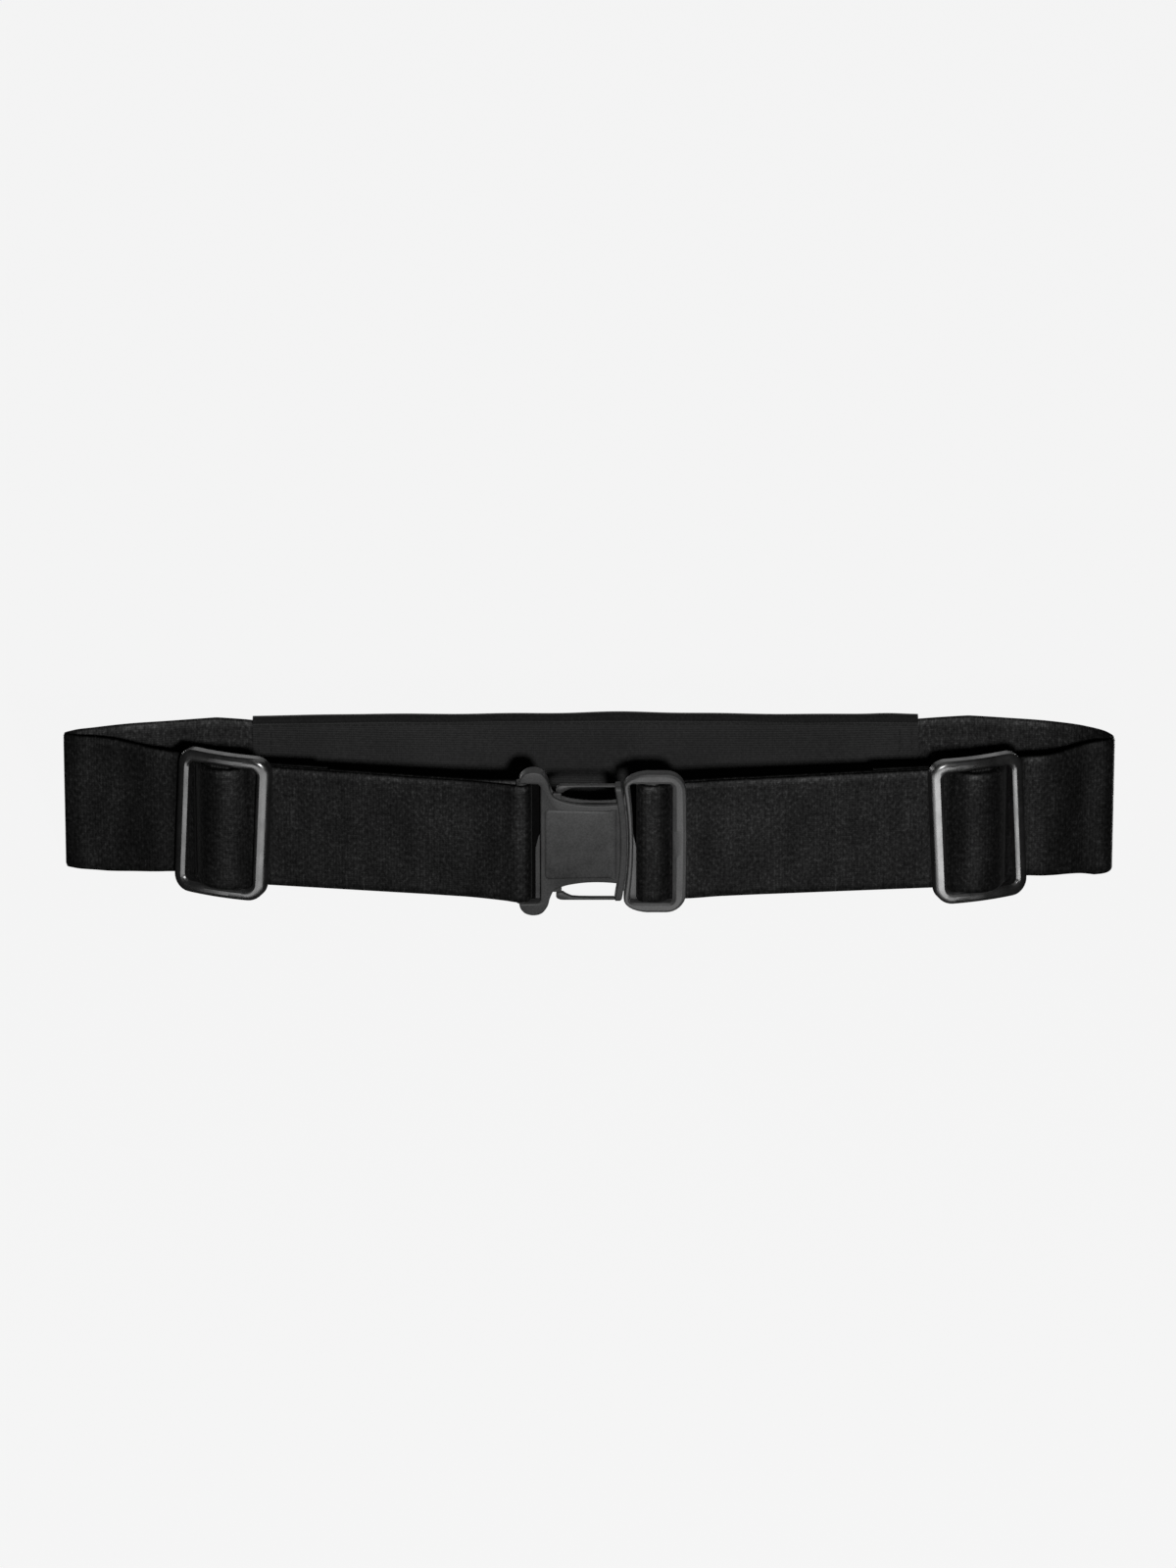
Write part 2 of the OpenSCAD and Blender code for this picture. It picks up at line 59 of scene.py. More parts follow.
WEB_T = 1.4
HARDWARE_H = 50.0
MID_Z = HARDWARE_H / 2
HELD_HALF, IN_BUCKLE_HALF = 20.75, 20.35
HELD = (MID_Z - HELD_HALF, MID_Z + HELD_HALF)
IN_BUCKLE = (MID_Z - IN_BUCKLE_HALF, MID_Z + IN_BUCKLE_HALF)
RELAXED = (0.9, 47.9)
IN_POUCH = (1.9, 46.1)
LEFT, RIGHT = -1, 1
NAME = {LEFT: "left", RIGHT: "right"}
BODY = {LEFT: ("belt", "left_adjuster"), RIGHT: ("right_half", "right_adjuster")}
ADJUSTER_AT = {LEFT: (-118.8, -16.0), RIGHT: (126.4, -19.1)}
ADJUSTER_TURN = {LEFT: 22, RIGHT: 20}
STRAP_ENTRY = {LEFT: (-32.0, -30.8), RIGHT: (34.0, -30.1)}
SPLIT = {LEFT: 53.6, RIGHT: 54.0}
WRAP_START = {LEFT: 80, RIGHT: 84}
STRAP_INSET = 0.5
LAYER_PITCH = 1.6
TAIL = 34
SEAM = 14
ADJUSTER_W, ADJUSTER_BAR, ADJUSTER_T, BOW_R = 32, 4, 4.2, 70
BUCKLE_Y = -31.4
STRAP_BAR_X = -21.6
FRAME_BAR = (20.3, -31.1)
ZIP_Z = 30
POUCH_H = 48
POUCH_LEFT, POUCH_RIGHT = -110, 108


def point(p):
    """A point in millimetres, in metres."""
    return tuple(c * MM for c in p)


# ---- Curves -----------------------------------------------------------------------------------------

def smooth(points, steps=8):
    """The CAD source's cubic curve through the points."""
    p = np.array(points, float)
    span = np.linalg.norm(np.diff(p, axis=0), axis=1)
    way = np.diff(p, axis=0) / span[:, None]
    lean = [way[0]]
    for i in range(1, len(p) - 1):
        lean.append((way[i - 1] * span[i] + way[i] * span[i - 1]) / (span[i - 1] + span[i]))
    lean.append(way[-1])
    out = []
    for i in range(len(p) - 1):
        for k in range(steps):
            t = k / steps
            out.append(
                p[i] * (2 * t**3 - 3 * t**2 + 1) + lean[i] * span[i] * (t**3 - 2 * t**2 + t)
                + p[i + 1] * (3 * t**2 - 2 * t**3) + lean[i + 1] * span[i] * (t**3 - t**2)
            )
    return np.array(out + [p[-1]])


def along(route):
    """The distance from the route's start to each of its points."""
    return np.concatenate([[0], np.cumsum(np.linalg.norm(np.diff(route, axis=0), axis=1))])


def resampled(route, step):
    """The same route in even steps of about that length."""
    s = along(route)
    at = np.linspace(0, s[-1], max(2, int(round(s[-1] / step)) + 1))
    return np.stack([np.interp(at, s, route[:, k]) for k in range(route.shape[1])], 1)


def normals(route):
    """Unit plan vectors to the left of the route's direction."""
    d = np.gradient(route, axis=0)
    d /= np.linalg.norm(d, axis=1)[:, None]
    return np.stack([-d[:, 1], d[:, 0]], 1)


def near_adjuster(side, u, v):
    """The plan point u from an adjuster's middle towards the buckle, and v out of its front."""
    a = math.radians(ADJUSTER_TURN[side])
    cx, cy = ADJUSTER_AT[side]
    return (cx - side * u * math.cos(a) + side * v * math.sin(a), cy - u * math.sin(a) - v * math.cos(a))


def on_strap(side, distance, layer=0):
    """The plan point that far from an adjuster's middle on the way to the buckle. Layers lie behind it."""
    c, e = np.array(ADJUSTER_AT[side]), np.array(STRAP_ENTRY[side])
    f = (e - c) / np.linalg.norm(e - c)
    return tuple(c + distance * f + (STRAP_INSET + layer * LAYER_PITCH) * side * np.array([f[1], -f[0]]))


# ---- Meshes -----------------------------------------------------------------------------------------

def make(name, verts, faces, mat, uv=None, sharp=40):
    """A mesh object from points in millimetres. uv holds one (u, v) per point."""
    mesh = bpy.data.meshes.new(name)
    mesh.from_pydata([point(v) for v in verts], [], [tuple(int(i) for i in f) for f in faces])
    if uv is not None:
        layer = mesh.uv_layers.new(name="UVMap")
        for loop in mesh.loops:
            layer.data[loop.index].uv = uv[loop.vertex_index]
    b = bmesh.new()
    b.from_mesh(mesh)
    bmesh.ops.recalc_face_normals(b, faces=b.faces)
    b.to_mesh(mesh)
    b.free()
    mesh.shade_smooth()
    mesh.set_sharp_from_angle(angle=math.radians(sharp))
    mesh.materials.append(mat)
    o = bpy.data.objects.new(name, mesh)
    bpy.context.scene.collection.objects.link(o)
    return o


class Pile:
    """Points and faces of several closed forms that go into one mesh."""

    def __init__(self):
        self.verts, self.faces = [], []

    def add(self, verts, faces):
        n = len(self.verts)
        self.verts += [tuple(v) for v in verts]
        self.faces += [tuple(i + n for i in f) for f in faces]

    def rings(self, rings, closed=False, concave=False):
        """A skin over equal rings of points. Closed joins the last ring to the first.

        Otherwise both ends are capped, and concave caps are cut into triangles."""
        k, n = len(rings[0]), len(rings)
        faces = []
        for i in range(n if closed else n - 1):
            j = (i + 1) % n
            faces += [(i * k + a, i * k + (a + 1) % k, j * k + (a + 1) % k, j * k + a) for a in range(k)]
        if concave and not closed:
            for first, ring in ((0, rings[0]), ((n - 1) * k, rings[-1])):
                triangles = tessellate_polygon([[Vector(p) for p in ring]])
                faces += [tuple(first + i for i in t) for t in triangles]
        elif not closed:
            faces += [tuple(range(k))[::-1], tuple((n - 1) * k + a for a in range(k))]
        self.add([p for r in rings for p in r], faces)

    def slab(self, outline, face_y, inner_y, chamfer, steps=2, concave=False):
        """A plate with that outline in X and Z. Its edge is rounded towards face_y."""
        line = np.array(outline, float)
        area = 0.5 * np.sum(line[:, 0] * np.roll(line[:, 1], -1) - np.roll(line[:, 0], -1) * line[:, 1])
        tangent = np.roll(line, -1, 0) - np.roll(line, 1, 0)
        tangent /= np.linalg.norm(tangent, axis=1)[:, None]
        inward = np.stack([-tangent[:, 1], tangent[:, 0]], 1) * (1 if area > 0 else -1)
        towards = 1 if inner_y > face_y else -1
        rings = [[(x, inner_y, z) for x, z in line]]
        for s in range(steps + 1):
            a = math.pi / 2 * s / steps
            shift = line + inward * chamfer * (1 - math.cos(a))
            depth = face_y + towards * chamfer * (1 - math.sin(a))
            rings.append([(x, depth, z) for x, z in shift])
        self.rings(rings, concave=concave)

    def object(self, name, mat, slot, sharp=40):
        return make(name, self.verts, self.faces, mat, sharp=sharp)


CORNER_STEPS = 8


def rounded_loop(w, h, r, across=14, up=20):
    """Points round a rounded rectangle, centred, with the same count whatever its size."""
    out = []
    for sx, sz, start in ((1, 1, 0), (-1, 1, 90), (-1, -1, 180), (1, -1, 270)):
        for i in range(CORNER_STEPS + 1):
            a = math.radians(start + 90 * i / CORNER_STEPS)
            out.append((sx * (w / 2 - r) + r * math.cos(a), sz * (h / 2 - r) + r * math.sin(a)))
        n = across if start in (0, 180) else up
        last = np.array(out[-1])
        turn = math.radians(start + 90)
        nx, nz = (-sx, sz) if start in (0, 180) else (sx, -sz)
        first = np.array((nx * (w / 2 - r) + r * math.cos(turn), nz * (h / 2 - r) + r * math.sin(turn)))
        out += [tuple(last + (first - last) * k / n) for k in range(1, n)]
    return np.array(out)


STRAP_ROWS = 22
EDGE_SHARE, NEXT_SHARE = 0.004, 0.022
EDGE_THICKNESS = 0.55
UV_HEIGHT = 0.04


def ribbon(name, route, levels, ripple=None, u0=0.0):
    """A strap that stands on edge along a plan route, with soft edges. levels(share) gives (low, high).

    Its texture runs in metres along the route, from u0, and from 0 to UV_HEIGHT up the strap."""
    side = normals(route)
    s = along(route)
    up = np.concatenate([[EDGE_SHARE], np.linspace(NEXT_SHARE, 1 - NEXT_SHARE, STRAP_ROWS), [1 - EDGE_SHARE]])
    thick = [EDGE_THICKNESS] + [1.0] * STRAP_ROWS + [EDGE_THICKNESS]
    section = [(0.0, 0.0)] + list(zip(up, thick))
    section += [(1.0, 0.0)] + [(z, -k) for z, k in zip(up[::-1], thick)]
    rings, uv = [], []
    for i, p in enumerate(route):
        low, high = levels(s[i] / s[-1])
        ring = []
        for z, off in section:
            d = off * WEB_T / 2 + (ripple(s[i], z) if ripple else 0)
            q = p + side[i] * d
            ring.append((q[0], q[1], low + (high - low) * z))
            uv.append(((u0 + s[i]) * MM, z * UV_HEIGHT))
        rings.append(ring)
    pile = Pile()
    pile.rings(rings)
    return make(name, pile.verts, pile.faces, WEBBING, uv=uv, sharp=50)


# ---- Materials. Their coordinates are in metres, so a texture's scale is per metre ------------------

def grey(tone):
    return (tone, tone, tone)


def node(tree, kind, **values):
    """A shader node with its settings, or its inputs by name with _ for each space."""
    n = tree.nodes.new(kind)
    for key, value in values.items():
        if hasattr(n, key):
            setattr(n, key, value)
        else:
            n.inputs[key.replace("_", " ")].default_value = value
    return n


def material(name, tone, roughness, **inputs):
    """A new grey material, with its node tree and its shader."""
    m = bpy.data.materials.new(name)
    m.use_nodes = True
    shader = m.node_tree.nodes["Principled BSDF"]
    shader.inputs["Base Color"].default_value = (*grey(tone), 1)
    shader.inputs["Roughness"].default_value = roughness
    for key, value in inputs.items():
        shader.inputs[key.replace("_", " ")].default_value = value
    return m, m.node_tree, shader


def coordinates(tree, kind="Object"):
    return node(tree, "ShaderNodeTexCoord").outputs[kind]


def scaled(tree, at, scale):
    """Coordinates multiplied by three numbers."""
    n = node(tree, "ShaderNodeMapping", Scale=scale)
    tree.links.new(at, n.inputs["Vector"])
    return n.outputs["Vector"]


def noise(tree, at, scale, detail, roughness=0.5):
    n = node(tree, "ShaderNodeTexNoise", Scale=scale, Detail=detail, Roughness=roughness)
    tree.links.new(at, n.inputs["Vector"])
    return n.outputs["Fac"]


def cords(tree, at, scale, direction, distortion=0.0, **inputs):
    """The parallel cords of a weave."""
    n = node(tree, "ShaderNodeTexWave", wave_type="BANDS", bands_direction=direction, wave_profile="SIN",
             Scale=1, Distortion=distortion, **inputs)
    tree.links.new(scaled(tree, at, (scale, scale, scale)), n.inputs["Vector"])
    return n.outputs["Fac"]


def add(tree, a, b, weight):
    """a + b * weight."""
    n = node(tree, "ShaderNodeMath", operation="MULTIPLY_ADD")
    tree.links.new(b, n.inputs[0])
    n.inputs[1].default_value = weight
    tree.links.new(a, n.inputs[2])
    return n.outputs[0]


def mapped(tree, source, spread, results):
    """The source's value, carried from the spread (low, high) to the results (at low, at high)."""
    n = node(tree, "ShaderNodeMapRange", From_Min=spread[0], From_Max=spread[1], To_Min=results[0],
             To_Max=results[1])
    tree.links.new(source, n.inputs["Value"])
    return n.outputs["Result"]


def ramp(tree, source, stops):
    """Greys that follow the source's value through the stops (value, tone)."""
    n = node(tree, "ShaderNodeValToRGB")
    elements = n.color_ramp.elements
    elements[0].position, elements[0].color = stops[0][0], (*grey(stops[0][1]), 1)
    elements[1].position, elements[1].color = stops[-1][0], (*grey(stops[-1][1]), 1)
    for at, tone in stops[1:-1]:
        elements.new(at).color = (*grey(tone), 1)
    tree.links.new(source, n.inputs["Fac"])
    return n.outputs["Color"]


def tint(tree, shader, source, stops):
    tree.links.new(ramp(tree, source, stops), shader.inputs["Base Color"])


def bump(tree, shader, height, strength, distance):
    n = node(tree, "ShaderNodeBump", Strength=strength, Distance=distance)
    tree.links.new(height, n.inputs["Height"])
    tree.links.new(n.outputs["Normal"], shader.inputs["Normal"])


def webbing_material():
    """Knitted elastic: fine cords across the strap, rubber threads along it, and flecks of light yarn."""
    m, tree, shader = material("elastic webbing", 0.004, 0.56, Sheen_Weight=0.02, Sheen_Roughness=0.4)
    uv = coordinates(tree, "UV")
    ribs = cords(tree, uv, 330, "X", 0.6, Detail=1, Detail_Scale=2)
    picks = cords(tree, uv, 480, "Y", 0.8)
    flecks = noise(tree, scaled(tree, uv, (900, 760, 760)), 1, 3, 0.7)
    cloud = noise(tree, scaled(tree, uv, (140, 60, 60)), 1, 2)
    tone = add(tree, add(tree, flecks, ribs, 0.05), cloud, 0.32)
    tint(tree, shader, tone, [(0.53, 0.0018), (0.69, 0.0036), (0.79, 0.007), (0.91, 0.020)])
    gloss = ramp(tree, tone, [(0.51, 0.20), (0.73, 0.46), (0.93, 0.90)])
    # The yarn of the upper selvedge, whose faces look up, is matt
    facing = node(tree, "ShaderNodeSeparateXYZ")
    tree.links.new(node(tree, "ShaderNodeNewGeometry").outputs["True Normal"], facing.inputs["Vector"])
    dulled = node(tree, "ShaderNodeMath", operation="MULTIPLY")
    tree.links.new(gloss, dulled.inputs[0])
    tree.links.new(mapped(tree, facing.outputs["Z"], (0.2, 0.6), (1.0, 0.08)), dulled.inputs[1])
    tree.links.new(dulled.outputs["Value"], shader.inputs["Specular IOR Level"])
    bump(tree, shader, add(tree, add(tree, flecks, picks, 0.25), ribs, 0.4), 0.22, 0.00016)
    return m


def panel_material():
    """The pouch's smooth, close-knit fabric, with slight patches of wear."""
    m, tree, shader = material("pouch fabric", 0.016, 0.66, Sheen_Weight=0.03, Sheen_Roughness=0.5,
                               Specular_IOR_Level=0.3)
    at = coordinates(tree)
    warp, weft = (cords(tree, at, 520, direction, 0.7) for direction in "XZ")
    fine, patches = noise(tree, at, 1100, 3), noise(tree, at, 38, 2)
    tint(tree, shader, add(tree, fine, patches, 0.5), [(0.55, 0.010), (0.75, 0.0145), (0.92, 0.021)])
    bump(tree, shader, add(tree, add(tree, warp, weft, 1.0), fine, 0.5), 0.4, 0.00012)
    return m


def tape_material(name, tone, scale):
    """A narrow woven tape with a herringbone grain."""
    m, tree, shader = material(name, tone, 0.85, Sheen_Weight=0.1, Specular_IOR_Level=0.3)
    at = coordinates(tree)
    grain, fine = cords(tree, at, scale, "DIAGONAL", 1.2), noise(tree, at, 1400, 2)
    tint(tree, shader, fine, [(0.35, tone * 0.6), (0.7, tone * 1.7)])
    bump(tree, shader, add(tree, grain, fine, 0.6), 0.4, 0.00015)
    return m


def thread_material():
    """Sewing thread, with the diagonal lines of its twist."""
    m, tree, shader = material("twisted thread", 0.012, 0.6, Specular_IOR_Level=0.4)
    twist = cords(tree, coordinates(tree), 1500, "DIAGONAL")
    tint(tree, shader, twist, [(0.2, 0.007), (0.8, 0.02)])
    bump(tree, shader, twist, 0.5, 0.0001)
    return m


def plastic_material(name, tone, roughness, grain, coat=0.0, ior=1.52, texture=0.18):
    """Moulded acetal: a satin skin with fine mould texture, faint handling marks and slight sink."""
    m, tree, shader = material(name, tone, roughness, IOR=ior, Coat_Weight=coat, Coat_Roughness=0.22)
    at = coordinates(tree)
    fine, marks = noise(tree, at, grain, 3), noise(tree, at, 170, 4)
    satin = mapped(tree, marks, (0.3, 0.7), (roughness - 0.07, roughness + 0.08))
    tree.links.new(satin, shader.inputs["Roughness"])
    tint(tree, shader, add(tree, fine, marks, 0.6), [(0.55, tone * 0.72), (1.0, tone * 1.4)])
    bump(tree, shader, add(tree, fine, marks, 0.5), texture, 0.00006)
    return m


def metal_material():
    """Black-enamelled metal, worn to brighter metal on its raised grain."""
    m, tree, shader = material("black enamelled metal", 0.02, 0.34, Metallic=0.6)
    grain = noise(tree, coordinates(tree), 420, 4)
    tint(tree, shader, grain, [(0.35, 0.014), (0.6, 0.03), (0.75, 0.09)])
    bump(tree, shader, grain, 0.2, 0.00005)
    return m


WEBBING = webbing_material()
PANEL = panel_material()
BINDING = tape_material("binding tape", 0.007, 600)
TAPE = tape_material("zip tape", 0.009, 900)
THREAD = thread_material()
COIL = plastic_material("zip coil", 0.012, 0.4, 1500, coat=0.1)
ADJUSTER = plastic_material("adjuster plastic", 0.014, 0.29, 1100, ior=1.9, texture=0.07)
BUCKLE = plastic_material("buckle plastic", 0.048, 0.58, 1700)
# A near-black, low-gloss copy of the buckle plastic for the lip deep behind the socket's slot: painted shade.
SHADE_PAINTED_BUCKLE = plastic_material("buckle plastic painted with shade", 0.003, 0.85, 900, ior=1.12)
METAL = metal_material()


# ---- Webbing ----------------------------------------------------------------------------------------

# The straps' routes: AT_ADJUSTER, HUMP and BAR_LOOP in an adjuster's u and v, and the others in X and Y
AT_ADJUSTER = (-17, -3.8)
HUMP = [(-14, -3.5), (-11, -3.1), (-9.3, -1.3), (-7.8, 1.2), (-4.8, 4.1), (0, 5.4),
        (4.8, 4.1), (7.8, 1.2), (9.3, -1.3), (11, -3)]
BAR_LOOP = [(10, -4.6), (7.6, -1.6), (6.2, 1.2), (4.2, 3), (0, 3.65), (-4.2, 3), (-5.5, 1.2),
            (-4.4, -0.6), (-1.5, -0.95), (2, -1.5), (5.2, -3.9), (8.6, -6.2)]
LEFT_SIDE = [(-101, 22.4), (-111, 21.9), (-124, 19.6), (-137, 17.1), (-150, 14.5), (-161, 11.1),
             (-168.4, 8.5), (-170.8, 6.4), (-168.6, 4.8), (-160, 2.6), (-150.4, -0.1), (-141, -4.0),
             near_adjuster(LEFT, *AT_ADJUSTER)]
RIGHT_SIDE = [(99, 23.6), (110, 23.2), (122, 22.1), (137, 19.7), (152, 16.5), (162.5, 12.3),
              (169.2, 6.9), (170.8, 3), (169.0, 0.2), (165.4, -1.0), (161.2, -2.2), (157, -4.6),
              (152.8, -7.1), (148.6, -8.7), near_adjuster(RIGHT, *AT_ADJUSTER)]
# The point of RIGHT_SIDE where the back strap ends and the strap to the adjuster starts
TURN_LAST = 9
WRAP_R = 2.6
LEFT_WRAP = [(-27, -32.4)] + [
    (STRAP_BAR_X + WRAP_R * math.cos(math.radians(a)), BUCKLE_Y + WRAP_R * math.sin(math.radians(a)))
    for a in range(-100, 101, 50)] + [(-27, -28.6)]
RIGHT_WRAP = [(FRAME_BAR[0] + x, FRAME_BAR[1] + y) for x, y in (
    (9.2, 0.55), (7.4, 0.7), (6, 0.4), (4.8, -0.5), (3.6, -1.8), (2.2, -2.5), (0, -2.65), (-2.3, -2.5),
    (-3.8, -1.4), (-4.2, 0.1), (-3.4, 1.6), (-1.7, 2.35), (0.5, 2.5), (4.7, 2.2), (9.2, 2.2))]
# A strap held in an adjuster stands this much past the sewn layers, at both edges
SPREAD = 0.2
# The lower edge's sag behind an adjuster's side bars: how deep, how long, and where u and v are
SAG, SAG_LENGTH, SIDE_BARS_U, SIDE_BARS_V = 1.6, 2.9, (-10.6, 10.6), -2.6
ROUTE_STEP = 0.9


def heights(table):
    """What gives (low, high) at a share of the route, from a table's rows (share, low, high)."""
    at = [r[0] for r in table]
    return lambda x: (np.interp(x, at, [r[1] for r in table]), np.interp(x, at, [r[2] for r in table]))


def gathered(at, low, high, early=False):
    """Heights that ease from a relaxed strap to one held in an adjuster, at these shares.

    Early gathers it most at the start."""
    def value(x):
        t = min(max((x - low) / (high - low), 0), 1)
        t = t * (2 - t) if early else t * t * (3 - 2 * t)
        base = at(x)
        return (base[0] + (HELD[0] - SPREAD - base[0]) * t, base[1] + (HELD[1] + SPREAD - base[1]) * t)
    return value


def tucked(at, side, route):
    """Heights whose lower edge sags where the strap passes behind the adjuster's side bars."""
    s = along(route)
    behind = [near_adjuster(side, u, SIDE_BARS_V) for u in SIDE_BARS_U]
    bars = [s[np.argmin(np.linalg.norm(route - p, axis=1))] for p in behind]

    def value(x):
        low, high = at(x)
        return (low - sum(SAG * math.exp(-((x * s[-1] - b) / SAG_LENGTH) ** 2) for b in bars), high)
    return value


def slack(size, length, phase):
    """The slight waves of relaxed elastic: along the strap, and more towards its edges."""
    def ripple(s, z):
        edge = abs(2 * z - 1) ** 2
        start = 2.2 * phase + (1.1 if z > 0.5 else 0)
        return size * (0.35 * math.sin(s / length + phase) + 0.65 * edge * math.sin(s / length * 1.7 + start))
    return ripple


def routes(side):
    """A strap's stretches: over its adjuster, to the buckle and back, and round the adjuster's bar."""
    hump = [near_adjuster(side, u, v) for u, v in HUMP] + [on_strap(side, SEAM)]
    wrap = LEFT_WRAP if side == LEFT else RIGHT_WRAP
    far = WRAP_START[side]
    front = [on_strap(side, d) for d in (SEAM, 18, 30, SPLIT[side], far - 4, far)]
    back = [on_strap(side, d, 1) for d in (far, far - 4, SPLIT[side], 34, SEAM)]
    loop = [on_strap(side, SEAM, 1)] + [near_adjuster(side, u, v) for u, v in BAR_LOOP]
    loop += [on_strap(side, SEAM, 2), on_strap(side, 18, 2), on_strap(side, TAIL, 2)]
    return hump, front + wrap + back, loop


held = heights([(0, *HELD), (1, *HELD)])
narrowed = heights([(0, *HELD), (0.3, *IN_BUCKLE), (0.7, *IN_BUCKLE), (1, *HELD)])


def outer_strap(side, hump):
    """The strap up to its adjuster and over it. The left one starts in the pouch."""
    if side == LEFT:
        lead, phase = LEFT_SIDE, 0.4
        base = heights([(0, *IN_POUCH), (0.055, *IN_POUCH), (0.14, *RELAXED), (1, *RELAXED)])
        at = gathered(base, 0.56, 0.76)
    else:
        lead, phase = RIGHT_SIDE[TURN_LAST:], 1.9
        at = gathered(heights([(0, *RELAXED), (1, *RELAXED)]), 0.0, 0.44, early=True)
    route = resampled(smooth(lead + hump), ROUTE_STEP)
    outer = ribbon(f"{NAME[side]}_outer_strap", route, tucked(at, side, route), slack(0.18, 11.0, phase))
    # It stretches between the half of the belt that holds it and the adjuster
    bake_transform(outer)
    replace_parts(outer, f"{NAME[side]}_side_webbing", f"{NAME[side]}_running_webbing")


def buckle_strap(side, route):
    """The strap from its adjuster round the buckle's bar and back."""
    run = ribbon(f"{NAME[side]}_buckle_strap", resampled(smooth(route), ROUTE_STEP), narrowed, u0=7)
    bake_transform(run)
    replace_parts(run, f"{NAME[side]}_return_webbing", f"{NAME[side]}_buckle_webbing")


def strap_tail(side, route):
    """The strap's end, sewn round the adjuster's own bar."""
    tail = ribbon(f"{NAME[side]}_strap_tail", resampled(smooth(route), 0.8), held, u0=3)
    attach(tail, BODY[side][1])
    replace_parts(tail, f"{NAME[side]}_sewn_loop")


def back_strap():
    """The right strap from the pouch to the turn at the loop's end."""
    route = resampled(smooth(RIGHT_SIDE[:TURN_LAST + 1]), ROUTE_STEP)
    at = heights([(0, *IN_POUCH), (0.10, *IN_POUCH), (0.3, *RELAXED), (1, *RELAXED)])
    back = ribbon("right_back_strap", route, at)
    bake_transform(back)
    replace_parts(back, "right_back_webbing", "right_turn_webbing")


for side in (LEFT, RIGHT):
    hump_route, buckle_route, loop_route = routes(side)
    outer_strap(side, hump_route)
    buckle_strap(side, buckle_route)
    strap_tail(side, loop_route)
back_strap()


# ---- Stitches ---------------------------------------------------------------------------------------

# The points round a stitch in degrees, and how far its underside lies in the cloth
STITCH_TURNS, STITCH_SUNK = (0, 45, 90, 135, 180, 270), 0.15


def stitch(pile, a, b, out, width=0.45, rise=0.28):
    """One raised stitch from a to b, that lies on a face whose outward direction is out."""
    a, b, out = (np.array(x, float) for x in (a, b, out))
    way = (b - a) / np.linalg.norm(b - a)
    across = np.cross(way, out)
    rings = []
    for t in (0, 0.12, 0.5, 0.88, 1):
        lift = rise * math.sin(math.pi * min(max(t, 0.02), 0.98)) ** 0.5
        w = width * (0.45 if t in (0, 1) else 1)
        c = a + (b - a) * t
        ring = []
        for turn in STITCH_TURNS:
            along_face, up = math.cos(math.radians(turn)), math.sin(math.radians(turn))
            ring.append(c + across * w / 2 * along_face + out * (lift * up if up > 0 else -STITCH_SUNK))
        rings.append(ring)
    pile.rings(rings)


STITCH_PITCH, STITCH_GAP = 2.9, 0.7


def seam(pile, route, z, face, off=0.0):
    """A row of stitches at one height, off the left (1) or right (-1) face of a plan route."""
    pts = resampled(route, 0.3)
    n = normals(pts) * face
    line = pts + n * off
    s = along(line)
    at = 0.5
    while at + STITCH_PITCH - STITCH_GAP < s[-1]:
        ends = []
        for d in (at, at + STITCH_PITCH - STITCH_GAP):
            x, y = (np.interp(d, s, line[:, k]) for k in (0, 1))
            ends.append((x, y, z + random.uniform(-0.04, 0.04)))
        k = int(np.searchsorted(s, at))
        stitch(pile, ends[0], ends[1], (n[k][0], n[k][1], 0))
        at += STITCH_PITCH


ZIGZAG_LENGTH, ZIGZAG_RISE = 2, 0.55


def bartack(side):
    """Two zigzag rows on the back of the sewn tail."""
    pile = Pile()
    back_of_tail = 2 + (WEB_T / 2 + 0.02) / LAYER_PITCH
    f = np.array(on_strap(side, 1)) - np.array(on_strap(side, 0))
    out = (side * f[1], -side * f[0], 0)
    for start in (TAIL - 15, TAIL - 6):
        z, k = HELD[0] + 2.2, 0
        while z < HELD[1] - 2.6:
            a, b = on_strap(side, start, back_of_tail), on_strap(side, start + ZIGZAG_LENGTH, back_of_tail)
            if k % 2:
                a, b = b, a
            stitch(pile, (*a, z), (*b, z + ZIGZAG_RISE), out, width=0.42, rise=0.32)
            z, k = z + ZIGZAG_RISE, k + 1
    tack = pile.object(f"{NAME[side]}_zigzag_bartack", THREAD, "thread")
    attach(tack, BODY[side][1])
    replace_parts(tack, f"{NAME[side]}_bartack")


bartack(LEFT)
bartack(RIGHT)


# ---- Pouch ------------------------------------------------------------------------------------------

INNER = smooth([(POUCH_LEFT, 20.5), (-55, 22.6), (0, 23.3), (55, 23.1), (POUCH_RIGHT, 22)])
LEFT_END = [(POUCH_LEFT, 23.2), (-107, 23.9), (-103, 26.4), (-99, 28.8), (-95, 29.55)]
RIGHT_END = [(95, 29.55), (99, 28.9), (103, 27), (105.5, 25.4), (POUCH_RIGHT, 24.7)]
OUTER = smooth(LEFT_END + [(-90, 29.6), (-80, 29.6), (80, 29.6), (90, 29.6)] + RIGHT_END)
COLUMNS = 150
HEM = 1.2
# Folds in the cloth fade out towards this distance from the middle
FADE_END = 110
# The outer cloth is full between these heights, and drawn in above and below them
FULL_BOTTOM, FULL_TOP = 20, 37
# The cloth stops this far above and below the zip's middle
ZIP_GAP = 6
INNER_SLACK = 0.8
INNER_BOTTOM, INNER_HEIGHT = 1.1, 45.6
# Each binding's tape in height, from its hem on the cloth to its fold over the edge
TOP_TAPE, BOTTOM_TAPE = (45.4, 47.55), (2.5, 0.02)


def inner_y(x):
    return float(np.interp(x, INNER[:, 0], INNER[:, 1]))


def outer_y(x):
    return float(np.interp(x, OUTER[:, 0], OUTER[:, 1]))


